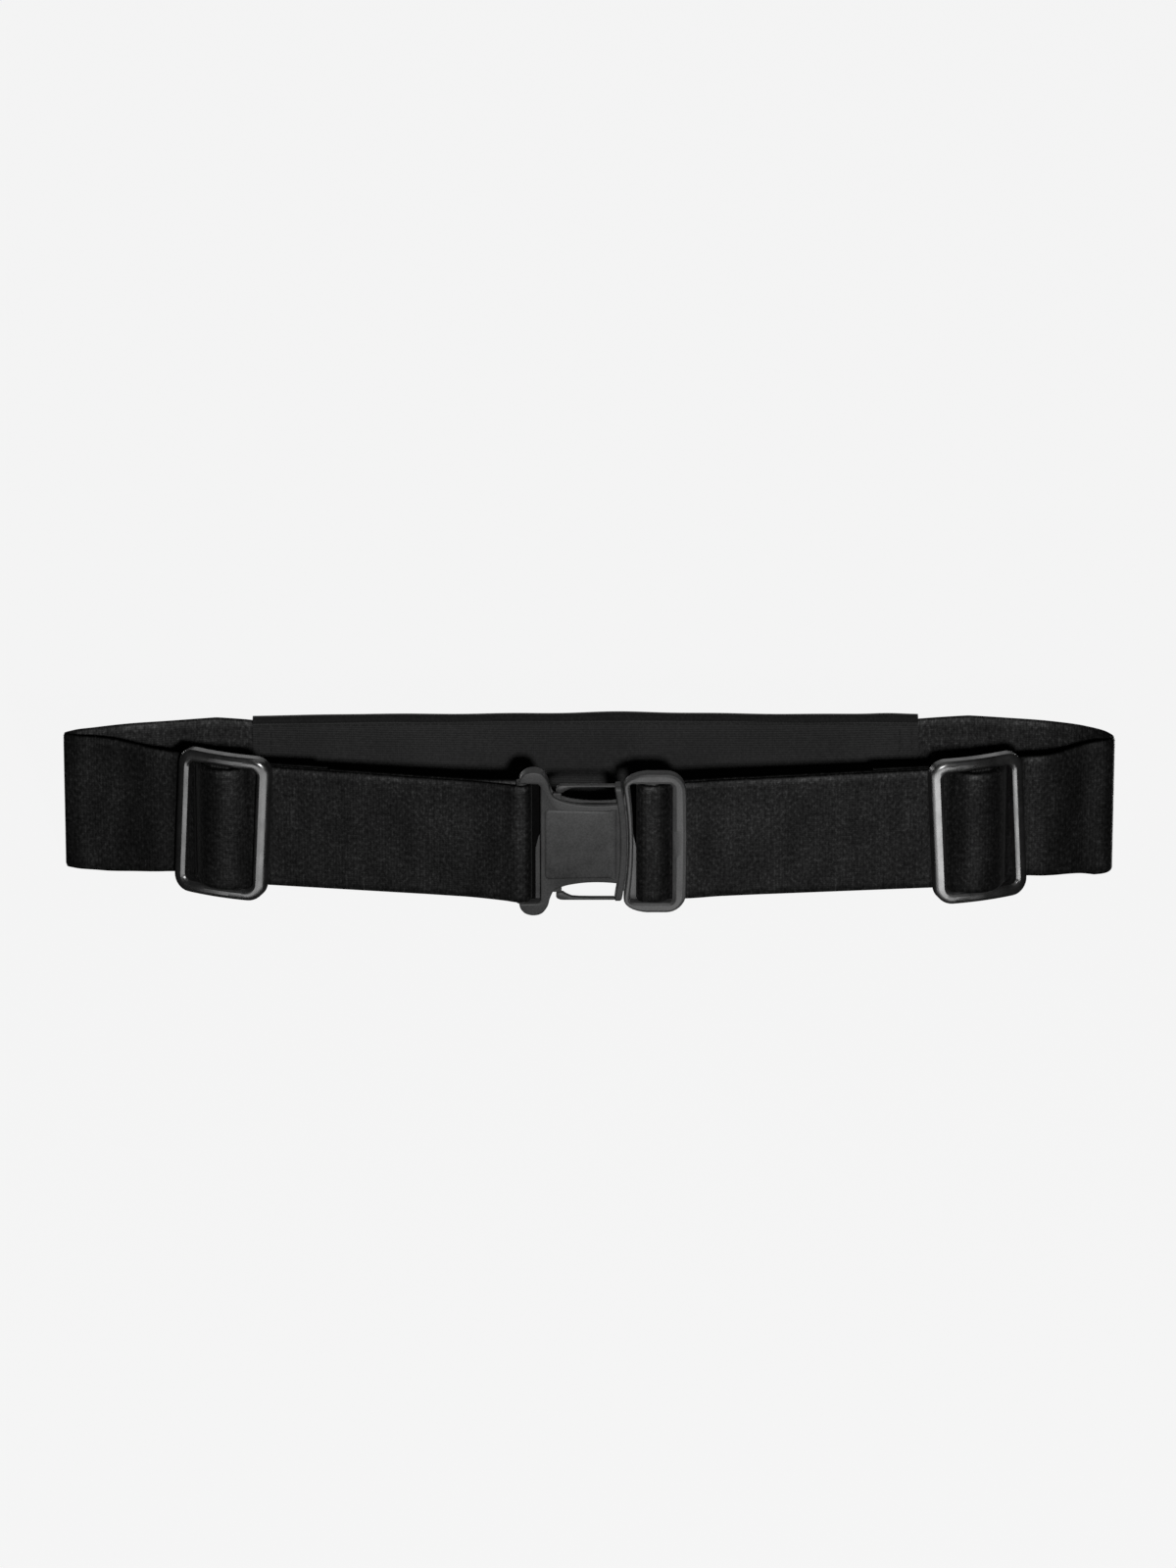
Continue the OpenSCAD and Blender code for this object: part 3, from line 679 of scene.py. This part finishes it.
def sag(x):
    """The rise of the pouch's top edge, below 0 where it dips between its sewn ends as soft cloth does."""
    return (0.25 * math.sin(x / 17.0 + 0.6) + 0.18 * math.sin(x / 6.3)
            - 0.35 * math.exp(-((x - 60) / 25) ** 2))


def inner_puff(x, z):
    """Slack in the inner panel at a share of its height: shallow folds that fade out at its sewn edges."""
    fade = math.sin(math.pi * min(max(z, 0), 1)) ** 0.8
    ends = min(1.0, (FADE_END - abs(x)) / 18)
    folds = 0.35 * math.sin(x / 13.0 + 3 * z) + 0.22 * math.sin(x / 6.1 - 2.1 * z + 1.3)
    return INNER_SLACK * fade * ends * folds


def cloth_sheet(name, grid, t, way, mat, slot):
    """A closed sheet over a grid of points [column][row], thickened by t towards +Y (1) or -Y (-1)."""
    rings = []
    for column in grid:
        far = []
        for r, (x, y, z) in enumerate(column):
            thin = 0.5 if r in (0, len(column) - 1) else 1
            far.append((x, y + way * t * thin, z))
        rings.append(column + far[::-1])
    pile = Pile()
    pile.rings(rings)
    return pile.object(name, mat, slot, sharp=60)


def inner_cloth():
    """The smooth cloth towards the wearer, pinched at both bindings."""
    grid = []
    for x in np.linspace(POUCH_LEFT, POUCH_RIGHT, COLUMNS):
        col = []
        for z in np.linspace(0, 1, 25):
            pinch = 0.28 * math.exp(-((1 - z) / 0.05) ** 2) + 0.28 * math.exp(-(z / 0.05) ** 2)
            height = INNER_HEIGHT + sag(x) * 0.6
            col.append((x, inner_y(x) - 0.5 + inner_puff(x, z) + pinch, INNER_BOTTOM + z * height))
        grid.append(col)
    o = cloth_sheet("pouch_inner_cloth", grid, 1.0, 1, PANEL, "panel_fabric")
    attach(o, "belt")
    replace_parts(o, "pouch_inner_panel")


def pillow_y(x, z):
    """The outer cloth's face: full along the zip, and drawn in towards the top and bottom bindings."""
    full, flat = outer_y(x) + 0.5, inner_y(x) + 2.2
    if z > ZIP_Z:
        t = (z - FULL_TOP) / (POUCH_H - HEM - FULL_TOP)
    else:
        t = (FULL_BOTTOM - z) / (FULL_BOTTOM - HEM)
    t = min(max(t, 0), 1)
    ease = 1 - math.sqrt(1 - t ** 2.2)
    folds = 0.3 * math.sin(x / 9.0 + z / 7.0) * min(1, (FADE_END - abs(x)) / 16) * math.sin(math.pi * t)
    return full + (flat - full) * ease * 0.92 + folds


def outer_cloth(name, low, high, rows, node_name):
    """The outer cloth above or below the zip."""
    grid = []
    for x in np.linspace(POUCH_LEFT + 0.2, POUCH_RIGHT - 0.2, COLUMNS):
        levels = np.linspace(low, high, rows)
        grid.append([(x, pillow_y(x, z), z + (sag(x) * 0.5 if z > 40 else 0)) for z in levels])
    o = cloth_sheet(name, grid, 0.9, -1, PANEL, "panel_fabric")
    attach(o, "belt")
    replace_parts(o, node_name)


def binding(name, top, node_name):
    """Folded tape over the pouch's edge, a little fuller in places as sewn elastic is."""
    rings = []
    for x in np.linspace(POUCH_LEFT, POUCH_RIGHT, 190):
        y0, y1 = inner_y(x) - 0.85, inner_y(x) + 2.5
        full = 0.12 * math.sin(x / 5.2) + 0.1 * math.sin(x / 13.7 + 1)
        if top:
            lump = 0.5 * math.exp(-((x - 12) / 17) ** 2) + 0.55 * math.exp(-((x - 98) / 6) ** 2)
            low, high = TOP_TAPE[0] + sag(x) * 0.5, TOP_TAPE[1] + sag(x) * 0.35 + (full + lump) * 0.5
        else:
            low, high = BOTTOM_TAPE
        way = 1 if top else -1
        section = [(y0 + 0.15, low), (y0 - 0.05, low + way * 0.5), (y0, high - way * 0.7),
                   (y0 + 0.35, high - way * 0.15), (y0 + 1.1, high), (y1 - 0.9, high),
                   (y1 - 0.3, high - way * 0.2), (y1, high - way * 0.8), (y1, low + way * 0.4),
                   (y1 - 0.3, low)]
        rings.append([(x, y + (full * 0.3 if 0 < i < 8 else 0), z) for i, (y, z) in enumerate(section)])
    pile = Pile()
    pile.rings(rings)
    o = pile.object(name, BINDING, "binding_tape", sharp=75)
    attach(o, "belt")
    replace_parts(o, node_name)


def long_seams():
    """The rows along both bindings on the inner face, and beside the zip on the outer face."""
    rows = Pile()
    for z in (44.6, 3.3):
        seam(rows, INNER, z, -1, 0.42)
    beside_zip = resampled(OUTER, 0.6)
    for z in (37.3, 22.7):
        seam(rows, np.array([(x, pillow_y(x, z)) for x, _ in beside_zip if abs(x) < 92]), z, 1)
    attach(rows.object("pouch_seams", THREAD, "thread"), "belt")


def end_stitches(word, xs):
    """The upright rows that hold a strap's end in the pouch."""
    rows = Pile()
    for x in xs:
        z = 4.6
        while z < 43:
            y = inner_y(x) - 0.56 + inner_puff(x, z / 46)
            stitch(rows, (x, y, z), (x, y, z + 2.1), (0, -1, 0))
            z += 2.8
    o = rows.object(f"{word}_end_stitches", THREAD, "thread")
    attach(o, "belt")
    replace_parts(o, f"pouch_{word}_stitching")


def end_tab(word, x0, x1):
    """The fabric tab that covers one of the zip's ends."""
    levels = [ZIP_Z - 6.6 + 13.2 * k / 8 for k in range(9)]
    grid = [[(x, outer_y(x) + 0.56 + 0.12 * math.sin(3 * k + x), z) for k, z in enumerate(levels)]
            for x in np.linspace(x0, x1, 16)]
    o = cloth_sheet(f"zip_{word}_end_tab", grid, 1.0, -1, PANEL, "panel_fabric")
    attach(o, "belt")
    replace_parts(o, f"zip_{word}_tab")


inner_cloth()
outer_cloth("pouch_outer_cloth_upper", ZIP_Z + ZIP_GAP, POUCH_H - HEM, 12, "pouch_upper_panel")
outer_cloth("pouch_outer_cloth_lower", HEM, ZIP_Z - ZIP_GAP, 22, "pouch_lower_panel")
binding("pouch_top_edge_tape", True, "pouch_top_binding")
binding("pouch_bottom_edge_tape", False, "pouch_bottom_binding")
long_seams()
end_stitches("left", (-108, -104))
end_stitches("right", (102, 106))
end_tab("left", -109.6, -93.6)
end_tab("right", 93.6, 107.6)


# ---- Zip --------------------------------------------------------------------------------------------

ZIP_HALF, TEETH_HALF = 93, 90
TAPE_Y, TEETH_Y = 28.5, 29.02
TOOTH_PITCH = 1.5
# A tooth's sections: distance from the zip's middle, half width and height
TOOTH = ((0.35, 0.32, 0.5), (0.6, 0.46, 1.3), (1.1, 0.5, 1.85), (1.9, 0.5, 2.0), (2.6, 0.46, 1.6),
         (2.9, 0.34, 0.7))


def zip_tape(word, way):
    """The woven tape above (1) or below (-1) the teeth."""
    grid = []
    for x in np.linspace(-ZIP_HALF, ZIP_HALF, 94):
        levels = [ZIP_Z + way * (0.5 + 8.5 * r / 6) for r in range(7)]
        grid.append([(x, TAPE_Y + 0.06 * math.sin(x / 4 + r), z) for r, z in enumerate(levels)])
    tape = cloth_sheet(f"zip_{word}_woven_tape", grid, 0.5, 1, TAPE, "zip_fabric")
    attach(tape, "belt")
    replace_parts(tape, f"zip_{word}_tape")


def zip_row(word, way):
    """A row of coil teeth. The upper row is half a pitch along from the lower one."""
    teeth = Pile()
    for i in range(int(2 * TEETH_HALF / TOOTH_PITCH)):
        x = -TEETH_HALF + (i + (0.5 if way > 0 else 0.0)) * TOOTH_PITCH + 0.4
        if x > TEETH_HALF - 0.5:
            continue
        rings = []
        for off, w, d in TOOTH:
            arch = ((-w, 0), (-w, d * 0.7), (-w * 0.5, d), (w * 0.5, d), (w, d * 0.7), (w, 0))
            rings.append([(x + across, TEETH_Y + rise, ZIP_Z + way * off) for across, rise in arch])
        teeth.rings(rings)
    row = teeth.object(f"zip_{word}_coil", COIL, "zip_coil", sharp=35)
    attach(row, "belt")
    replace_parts(row, f"zip_{word}_teeth")


for word, way in (("upper", 1), ("lower", -1)):
    zip_tape(word, way)
    zip_row(word, way)


# ---- Hardware ---------------------------------------------------------------------------------------

def refined(cad, name, mat, body, width):
    """A copy of a CAD node's mesh with its sharp edges rounded."""
    b = bmesh.new()
    b.from_mesh(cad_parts[cad].data)
    bmesh.ops.remove_doubles(b, verts=b.verts, dist=2e-6)
    bmesh.ops.dissolve_limit(b, angle_limit=math.radians(1), verts=b.verts, edges=b.edges)
    mesh = bpy.data.meshes.new(name)
    b.to_mesh(mesh)
    b.free()
    mesh.shade_smooth()
    mesh.set_sharp_from_angle(angle=math.radians(35))
    mesh.materials.append(mat)
    o = bpy.data.objects.new(name, mesh)
    bpy.context.scene.collection.objects.link(o)
    soften(o, width)
    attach(o, body)
    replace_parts(o, cad)


def soften(o, width, angle=32):
    """Rounds the sharp edges, as a mould does."""
    m = o.modifiers.new("edge", "BEVEL")
    m.width = width * MM
    m.segments = 2
    m.limit_method = "ANGLE"
    m.angle_limit = math.radians(angle)
    m.use_clamp_overlap = True
    m.harden_normals = True


# The pull of the straps leans each adjuster's lower end outwards, by this much per mm of height
LEAN = 0.055
CORNER_R, WINDOW_R = 5.5, 2.3
# From the frame's outer edge (0) to its window (1), how far its front lies below its face
FRONT = [(0.34, 0.0), (0.66, 0.0), (0.845, 0.3), (0.985, 0.86), (1.0, 1.0)]
BACK_CHAMFER = 0.45
CENTRE_BAR_HALF = 22


def adjuster(side):
    """A tri-glide frame, chamfered on its front, with a bowed face and a ribbed centre bar."""
    outer = rounded_loop(ADJUSTER_W, HARDWARE_H, CORNER_R)
    inner = rounded_loop(ADJUSTER_W - 2 * ADJUSTER_BAR, HARDWARE_H - 2 * ADJUSTER_BAR, WINDOW_R)
    half_t = ADJUSTER_T / 2
    profile = [(f, half_t - d) for f, d in FRONT]
    profile += [(1.0, -half_t + BACK_CHAMFER), (0.9, -half_t), (0.1, -half_t), (0.0, -half_t + BACK_CHAMFER)]
    profile += [(1 - f, half_t - d) for f, d in reversed(FRONT[2:])]
    bow_centre = math.sqrt(BOW_R**2 - ((ADJUSTER_W - ADJUSTER_BAR) / 2) ** 2)
    rings = []
    for f, d in profile:
        ring = []
        for u, z in outer + (inner - outer) * f:
            v = d + math.sqrt(BOW_R**2 - u * u) - bow_centre
            ring.append((*near_adjuster(side, u + LEAN * z, v), MID_Z + z))
        rings.append(ring)
    pile = Pile()
    pile.rings(rings, closed=True)
    bar_v = BOW_R - bow_centre
    bar = [(-3.75, 0.0), (-3.4, 0.9), (-2.5, 1.3)]
    bar += [(-2.0 + k * 0.5, 1.3 if k % 2 else 1.12) for k in range(9)]
    bar += [(2.5, 1.3), (3.4, 0.9), (3.75, 0.0), (3.4, -0.9), (2.5, -1.3), (-2.5, -1.3), (-3.4, -0.9)]
    pile.rings([[(*near_adjuster(side, u, bar_v + v), MID_Z + z) for u, v in bar]
                for z in (-CENTRE_BAR_HALF, 0, CENTRE_BAR_HALF)])
    o = pile.object(f"{NAME[side]}_tri_glide", ADJUSTER, "adjuster_plastic", sharp=35)
    soften(o, 0.22, 22)
    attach(o, BODY[side][1])
    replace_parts(o, f"{NAME[side]}_adjuster")


adjuster(LEFT)
adjuster(RIGHT)


# The buckle's socket and frame are built about their middle height, and moulded() lifts them to MID_Z
BULGE, MOUTH_HALF = 2.0, 20


def bulge(z):
    """How far the buckle's mouth bows towards its frame at a height above its middle."""
    return BULGE * (1 - (z / MOUTH_HALF) ** 2)


def mirrored(half):
    """An outline given from its left end to its right end above the middle, closed below it."""
    return list(half) + [(x, -z) for x, z in reversed(half)]


def plate(pile, outline, low, high):
    """A plate with that outline in X and Z, between two depths from the buckle's middle plane."""
    pile.rings([[(x, BUCKLE_Y + y, z) for x, z in outline] for y in (low, high)])


def upright(pile, section, *levels):
    """An upright bar with that section in X and Y, through those heights."""
    pile.rings([[(x, y, z) for x, y in section] for z in levels])


def moulded(pile, name, mat, body, edge=None):
    """The pile as a buckle piece. Edge is (width, angle) for the rounding of its edges."""
    pile.verts = [(x, y, z + MID_Z) for x, y, z in pile.verts]
    o = pile.object(name, mat, "buckle_plastic", sharp=35)
    if edge:
        soften(o, *edge)
    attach(o, body)
    return o


# The edge of the socket's plates from the strap bar's lobe to the mouth, and how many points the lobe has
EDGE = smooth([(-22.4, 20.9), (-22.2, 22.2), (-20.7, 24.2), (-18.0, 25.0), (-15.3, 24.4), (-13.3, 21.9),
               (-12.4, 18.8), (-11.2, 16.4), (-8.6, 15.0), (-4, 13.9), (2, 13.4), (6, 13.5), (10.4, 13.9)], 5)
LOBE_POINTS = 40
LOBE_END = -12.3
SLOT_CORNER = [(-15.5, 19.6), (-15.75, 20.3), (-16.4, 20.7)]
PANEL_TOP = [(-14.4, 11.0), (-13.8, 12.0), (-12.8, 12.4), (-6, 12.15), (0, 12.0), (6, 12.0), (9.3, 12.2)]
# Depths from the middle plane: the twin plates' faces and inner sides, and their raised panels'
PLATE_FACE, PLATE_INNER, PANEL_FACE, PANEL_INNER = 2.7, 1.5, 3.1, 2.6
STRAP_BAR_R, STRAP_BAR_HALF = 1.75, 21.2
# The mouth ring: its place, its loops' width, height and corner, and its section, which goes from the
# outer loop (0) to the inner one (1) and that far along the buckle
MOUTH_X = 8.3
MOUTH_OUTER, MOUTH_INNER = (6.4, 2 * MOUTH_HALF, 1.5), (3.2, 35.6, 0.5)
MOUTH = ((0.25, 0.0), (0.75, 0.0), (1, 0.35), (1, 1.95), (0.8, 2.3), (0.2, 2.3), (0, 1.95), (0, 0.4))


def socket():
    """The left half: twin plates with raised panels, the strap bar between its lobes, and the mouth."""
    pile = Pile()
    edge = [tuple(p) for p in EDGE]
    for front in (-1, 1):
        pile.slab(mirrored(SLOT_CORNER + edge), BUCKLE_Y + front * PLATE_FACE, BUCKLE_Y + front * PLATE_INNER,
                  0.55, 3, concave=True)
    lobe = [(LOBE_END, 12.6), (-15.45, 12.6)] + SLOT_CORNER + edge[:LOBE_POINTS] + [(LOBE_END, 17.0)]
    lobe = [(min(x, LOBE_END), z - 0.03) for x, z in lobe]
    for z in (1, -1):
        plate(pile, [(x, z * zz) for x, zz in lobe], -1.55, 1.55)
    for front in (-1, 1):
        pile.slab(mirrored(PANEL_TOP), BUCKLE_Y + front * PANEL_FACE, BUCKLE_Y + front * PANEL_INNER, 1.0, 3)
    plate(pile, [(-15.4, 16.0), (-12.4, 16.0), (-12.4, -16.0), (-15.4, -16.0)], -1.6, 1.6)
    # The strip behind the slot, which narrows towards the top
    plate(pile, [(-15.3, 3.0), (-16.2, 1.0), (-17.1, -3.0), (-17.1, -20.4), (-15.3, -20.4)], 1.3, 1.6)
    bar = [(STRAP_BAR_X + STRAP_BAR_R * math.cos(a), BUCKLE_Y + STRAP_BAR_R * math.sin(a))
           for a in np.linspace(0, 2 * math.pi, 25)[:-1]]
    upright(pile, bar, -STRAP_BAR_HALF, 0, STRAP_BAR_HALF)
    ring_out, ring_in = (rounded_loop(*size, across=4, up=24) for size in (MOUTH_OUTER, MOUTH_INNER))
    mouth = []
    for f, x in MOUTH:
        loop = ring_out + (ring_in - ring_out) * f
        mouth.append([(MOUTH_X + x + bulge(z), BUCKLE_Y + y, z) for y, z in loop])
    pile.rings(mouth, closed=True)
    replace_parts(moulded(pile, "buckle_socket_moulding", BUCKLE, "belt", (0.2, 34)), "buckle_socket")


def socket_lip():
    """The lip behind the slot, deep in the moulding. Its plastic is a near-black copy of the buckle plastic:
    painted shade, so the recess looks unlit.
    """
    pile = Pile()
    plate(pile, [(-15.3, 20.7), (-18.5, 20.7), (-18.5, -20.7), (-15.3, -20.7)], 1.6, 2.6)
    moulded(pile, "buckle_socket_lip", SHADE_PAINTED_BUCKLE, "belt")


# The frame: its place, its loops' width, height and corner, and its section, which goes from the outer
# loop (0) to the window (1) at that depth from the middle plane
FRAME_X, WINDOW_SHIFT, FRAME_BAR_HALF = 22.05, -1.3, 21.3
FRAME_OUTER, FRAME_WINDOW = (18.5, 48.4, 6.2), (12.5, 41.2, 1.0)
FRAME_SECTION = ((0.3, -2.6), (0.7, -2.6), (0.97, -2.0), (1, -1.6), (1, 1.5), (0.85, 1.9), (0.15, 1.9),
                 (0, 1.5), (0, -1.4), (0.04, -2.0))
WEB_BAR = [(11.3, -1.2), (13.2, -1.2), (13.2, 0.4), (11.3, 0.4)]


def share_past(value, start, length):
    """0 up to the start, and from there to 1 over that length."""
    return min(max((value - start) / length, 0), 1)


def catch():
    """The frame. Its left side follows the mouth, and its outer bar is slightly convex and stands forward."""
    pile = Pile()
    out_loop, in_loop = (rounded_loop(*size, up=24) for size in (FRAME_OUTER, FRAME_WINDOW))
    in_loop[:, 0] += WINDOW_SHIFT
    skin = []
    for f, d in FRAME_SECTION:
        ring = []
        for x, z in out_loop + (in_loop - out_loop) * f:
            x += FRAME_X
            left, right = share_past(-x, -17.5, 4), share_past(x, 26.5, 4)
            x += right * 0.5 * (1 - (z / 24) ** 2) - left * (BULGE - bulge(z)) * 0.85
            on_bar = right * share_past(-abs(z), -21.5, 2)
            depth = d - 0.3 * on_bar if d < 0 else d + (-0.3 - d) * on_bar
            ring.append((x, BUCKLE_Y + depth, z))
        skin.append(ring)
    pile.rings(skin, closed=True)
    rod = [(-2.25, 0), (-1.9, 1.0), (-1.0, 1.5), (1.0, 1.5), (1.9, 1.0), (2.25, 0), (1.9, -1.0), (1.0, -1.5),
           (-1.0, -1.5), (-1.9, -1.0)]
    rod = [(FRAME_BAR[0] + x, FRAME_BAR[1] + y) for x, y in rod]
    upright(pile, rod, -FRAME_BAR_HALF, 0, FRAME_BAR_HALF)
    # The ledge at the window's left, which narrows towards the top
    plate(pile, [(13.4, 2.0), (14.6, 2.0), (15.7, -3.0), (15.7, -20.4), (13.4, -20.4)], 0.4, 1.85)
    upright(pile, [(x, BUCKLE_Y + y) for x, y in WEB_BAR], -17, 17)
    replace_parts(moulded(pile, "buckle_frame_moulding", BUCKLE, "right_half", (0.25, 24)), "buckle_frame")


# A latch arm's sections along the buckle: x, and its inner and outer sides' distance from the middle
ARM = ((-10.5, 18.0, 18.9), (-10.1, 17.55, 19.5), (-9.2, 17.3, 19.9), (-8.2, 17.45, 20.0),
       (-7.3, 18.1, 20.0), (-5.5, 18.95, 20.0), (-3, 19.15, 20.0), (1, 19.2, 20.0),
       (5, 19.2, 20.0), (8.2, 19.2, 20.0), (8.7, 19.3, 19.9))
ARM_FRONT, ARM_BACK = BUCKLE_Y - 1.4, BUCKLE_Y + 0.6


def latch_arm(word, way):
    """A rounded tip that thins to a slightly bowed spring strip."""
    rings = []
    for x, low, high in ARM:
        c = min(0.25, (high - low) / 3)
        section = ((ARM_FRONT, low + c), (ARM_FRONT + c, low), (ARM_BACK - c, low), (ARM_BACK, low + c),
                   (ARM_BACK, high - c), (ARM_BACK - c, high), (ARM_FRONT + c, high), (ARM_FRONT, high - c))
        rings.append([(x, y, MID_Z + way * z) for y, z in section])
    pile = Pile()
    pile.rings(rings)
    o = pile.object(f"{word}_latch_spring", BUCKLE, "buckle_plastic", sharp=50)
    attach(o, f"{word}_latch")
    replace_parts(o, f"{word}_latch_arm")


socket()
socket_lip()
catch()
refined("buckle_prongs", "buckle_prong_mouldings", BUCKLE, "right_half", 0.3)
latch_arm("upper", 1)
latch_arm("lower", -1)

refined("zip_slider", "zip_slider_casting", METAL, "zip_slider", 0.22)
refined("zip_pull", "zip_pull_casting", METAL, "zip_pull", 0.25)
refined("zip_stops", "zip_end_stops", METAL, "belt", 0.2)


# ---- Floor, light and camera ------------------------------------------------------------------------

FLOOR_HALF, FLOOR_DROP, FLOOR_GLOW, FLOOR_PALE = 9, 0.0004, 0.90, 0.03
WORLD_GLOW = 0.015
SHINY = ("left_tri_glide", "right_tri_glide")
MOULDED = SHINY + ("buckle_socket_moulding", "buckle_frame_moulding", "upper_latch_spring",
                   "lower_latch_spring")


def floor():
    """A pale floor that glows for the camera alone, so that it casts no light on the belt."""
    mesh = bpy.data.meshes.new("floor")
    corners = [(x * FLOOR_HALF, y * FLOOR_HALF, 0) for x, y in ((-1, -1), (1, -1), (1, 1), (-1, 1))]
    mesh.from_pydata(corners, [], [(0, 1, 2, 3)])
    mesh.materials.append(material("pale floor", FLOOR_PALE, 1.0, Specular_IOR_Level=0,
                                   Emission_Color=(1, 1, 1, 1), Emission_Strength=FLOOR_GLOW)[0])
    o = bpy.data.objects.new("floor", mesh)
    o.location.z = -FLOOR_DROP
    o.visible_diffuse = False
    o.visible_glossy = False
    o.visible_shadow = False
    bpy.context.scene.collection.objects.link(o)


def panel_light(name, azimuth, elevation, distance, size, power, lit=None):
    """A soft box aimed at the belt. Azimuth 0 is the camera's side, and turns towards +X.

    Lit names the only pieces that it shines on, and there it shows as a reflection."""
    light = bpy.data.lights.new(name, "AREA")
    light.shape = "RECTANGLE"
    light.size, light.size_y = size
    light.energy = power
    a, e = math.radians(azimuth), math.radians(elevation)
    aim = Vector((0, 0, 0.024))
    o = bpy.data.objects.new(name, light)
    o.location = aim + distance * Vector((math.sin(a) * math.cos(e), -math.cos(a) * math.cos(e), math.sin(e)))
    o.rotation_euler = (aim - o.location).to_track_quat("-Z", "Y").to_euler()
    bpy.context.scene.collection.objects.link(o)
    if lit:
        o.visible_diffuse = False
        receivers = bpy.data.collections.new(name)
        for piece in lit:
            receivers.objects.link(bpy.data.objects[piece])
        o.light_linking.receiver_collection = receivers


def studio():
    """The key light, two lights behind the belt for its back, and reflections on the plastic."""
    world = bpy.data.worlds.new("studio")
    world.use_nodes = True
    world.node_tree.nodes["Background"].inputs["Color"].default_value = (1, 1, 1, 1)
    world.node_tree.nodes["Background"].inputs["Strength"].default_value = WORLD_GLOW
    bpy.context.scene.world = world
    panel_light("key", azimuth=4, elevation=17.8, distance=1.6, size=(0.07, 0.07), power=15.5)
    panel_light("rear left", azimuth=150, elevation=-8, distance=1.6, size=(0.5, 0.5), power=13.0)
    panel_light("rear right", azimuth=215, elevation=-4, distance=1.6, size=(0.5, 0.5), power=9.0)
    table = {"azimuth": 9, "elevation": -22, "distance": 0.6, "size": (0.5, 0.3)}
    panel_light("table glow", **table, power=1.35, lit=SHINY[:1])
    panel_light("table's middle", **table, power=2.9, lit=SHINY[1:])
    panel_light("table's right", azimuth=12, elevation=-34, distance=0.6, size=(0.4, 0.3), power=3.0,
                lit=("buckle_frame_moulding",))
    panel_light("table's left", azimuth=-32, elevation=-22, distance=0.7, size=(0.45, 0.3), power=1.0,
                lit=SHINY)
    panel_light("back wall", azimuth=180, elevation=26, distance=1.6, size=(1.8, 0.5), power=2.4, lit=MOULDED)
    panel_light("ceiling", azimuth=0, elevation=66, distance=1.2, size=(0.8, 0.5), power=0.9, lit=MOULDED)


# The camera: how high and how far it stands from the point that it circles, its tilt and its lens in mm
ELEVATION = math.radians(22)
DISTANCE = 3.0
AIM = Vector((-0.00016, -0.004, 0.024))
PITCH = math.radians(21.823)
SENSOR, LENS = 36, 211.2975


def photo_camera():
    """The camera at the photo's angle."""
    camera = bpy.data.cameras.new("camera")
    camera.sensor_width = SENSOR
    camera.lens = LENS
    camera.clip_start = 0.05
    eye = bpy.data.objects.new("camera", camera)
    eye.location = AIM + DISTANCE * Vector((0, -math.cos(ELEVATION), math.sin(ELEVATION)))
    eye.rotation_euler = (math.pi / 2 - PITCH, 0, 0)
    bpy.context.scene.collection.objects.link(eye)
    bpy.context.scene.camera = eye


floor()
studio()
photo_camera()
bpy.context.scene.view_settings.view_transform = "Standard"
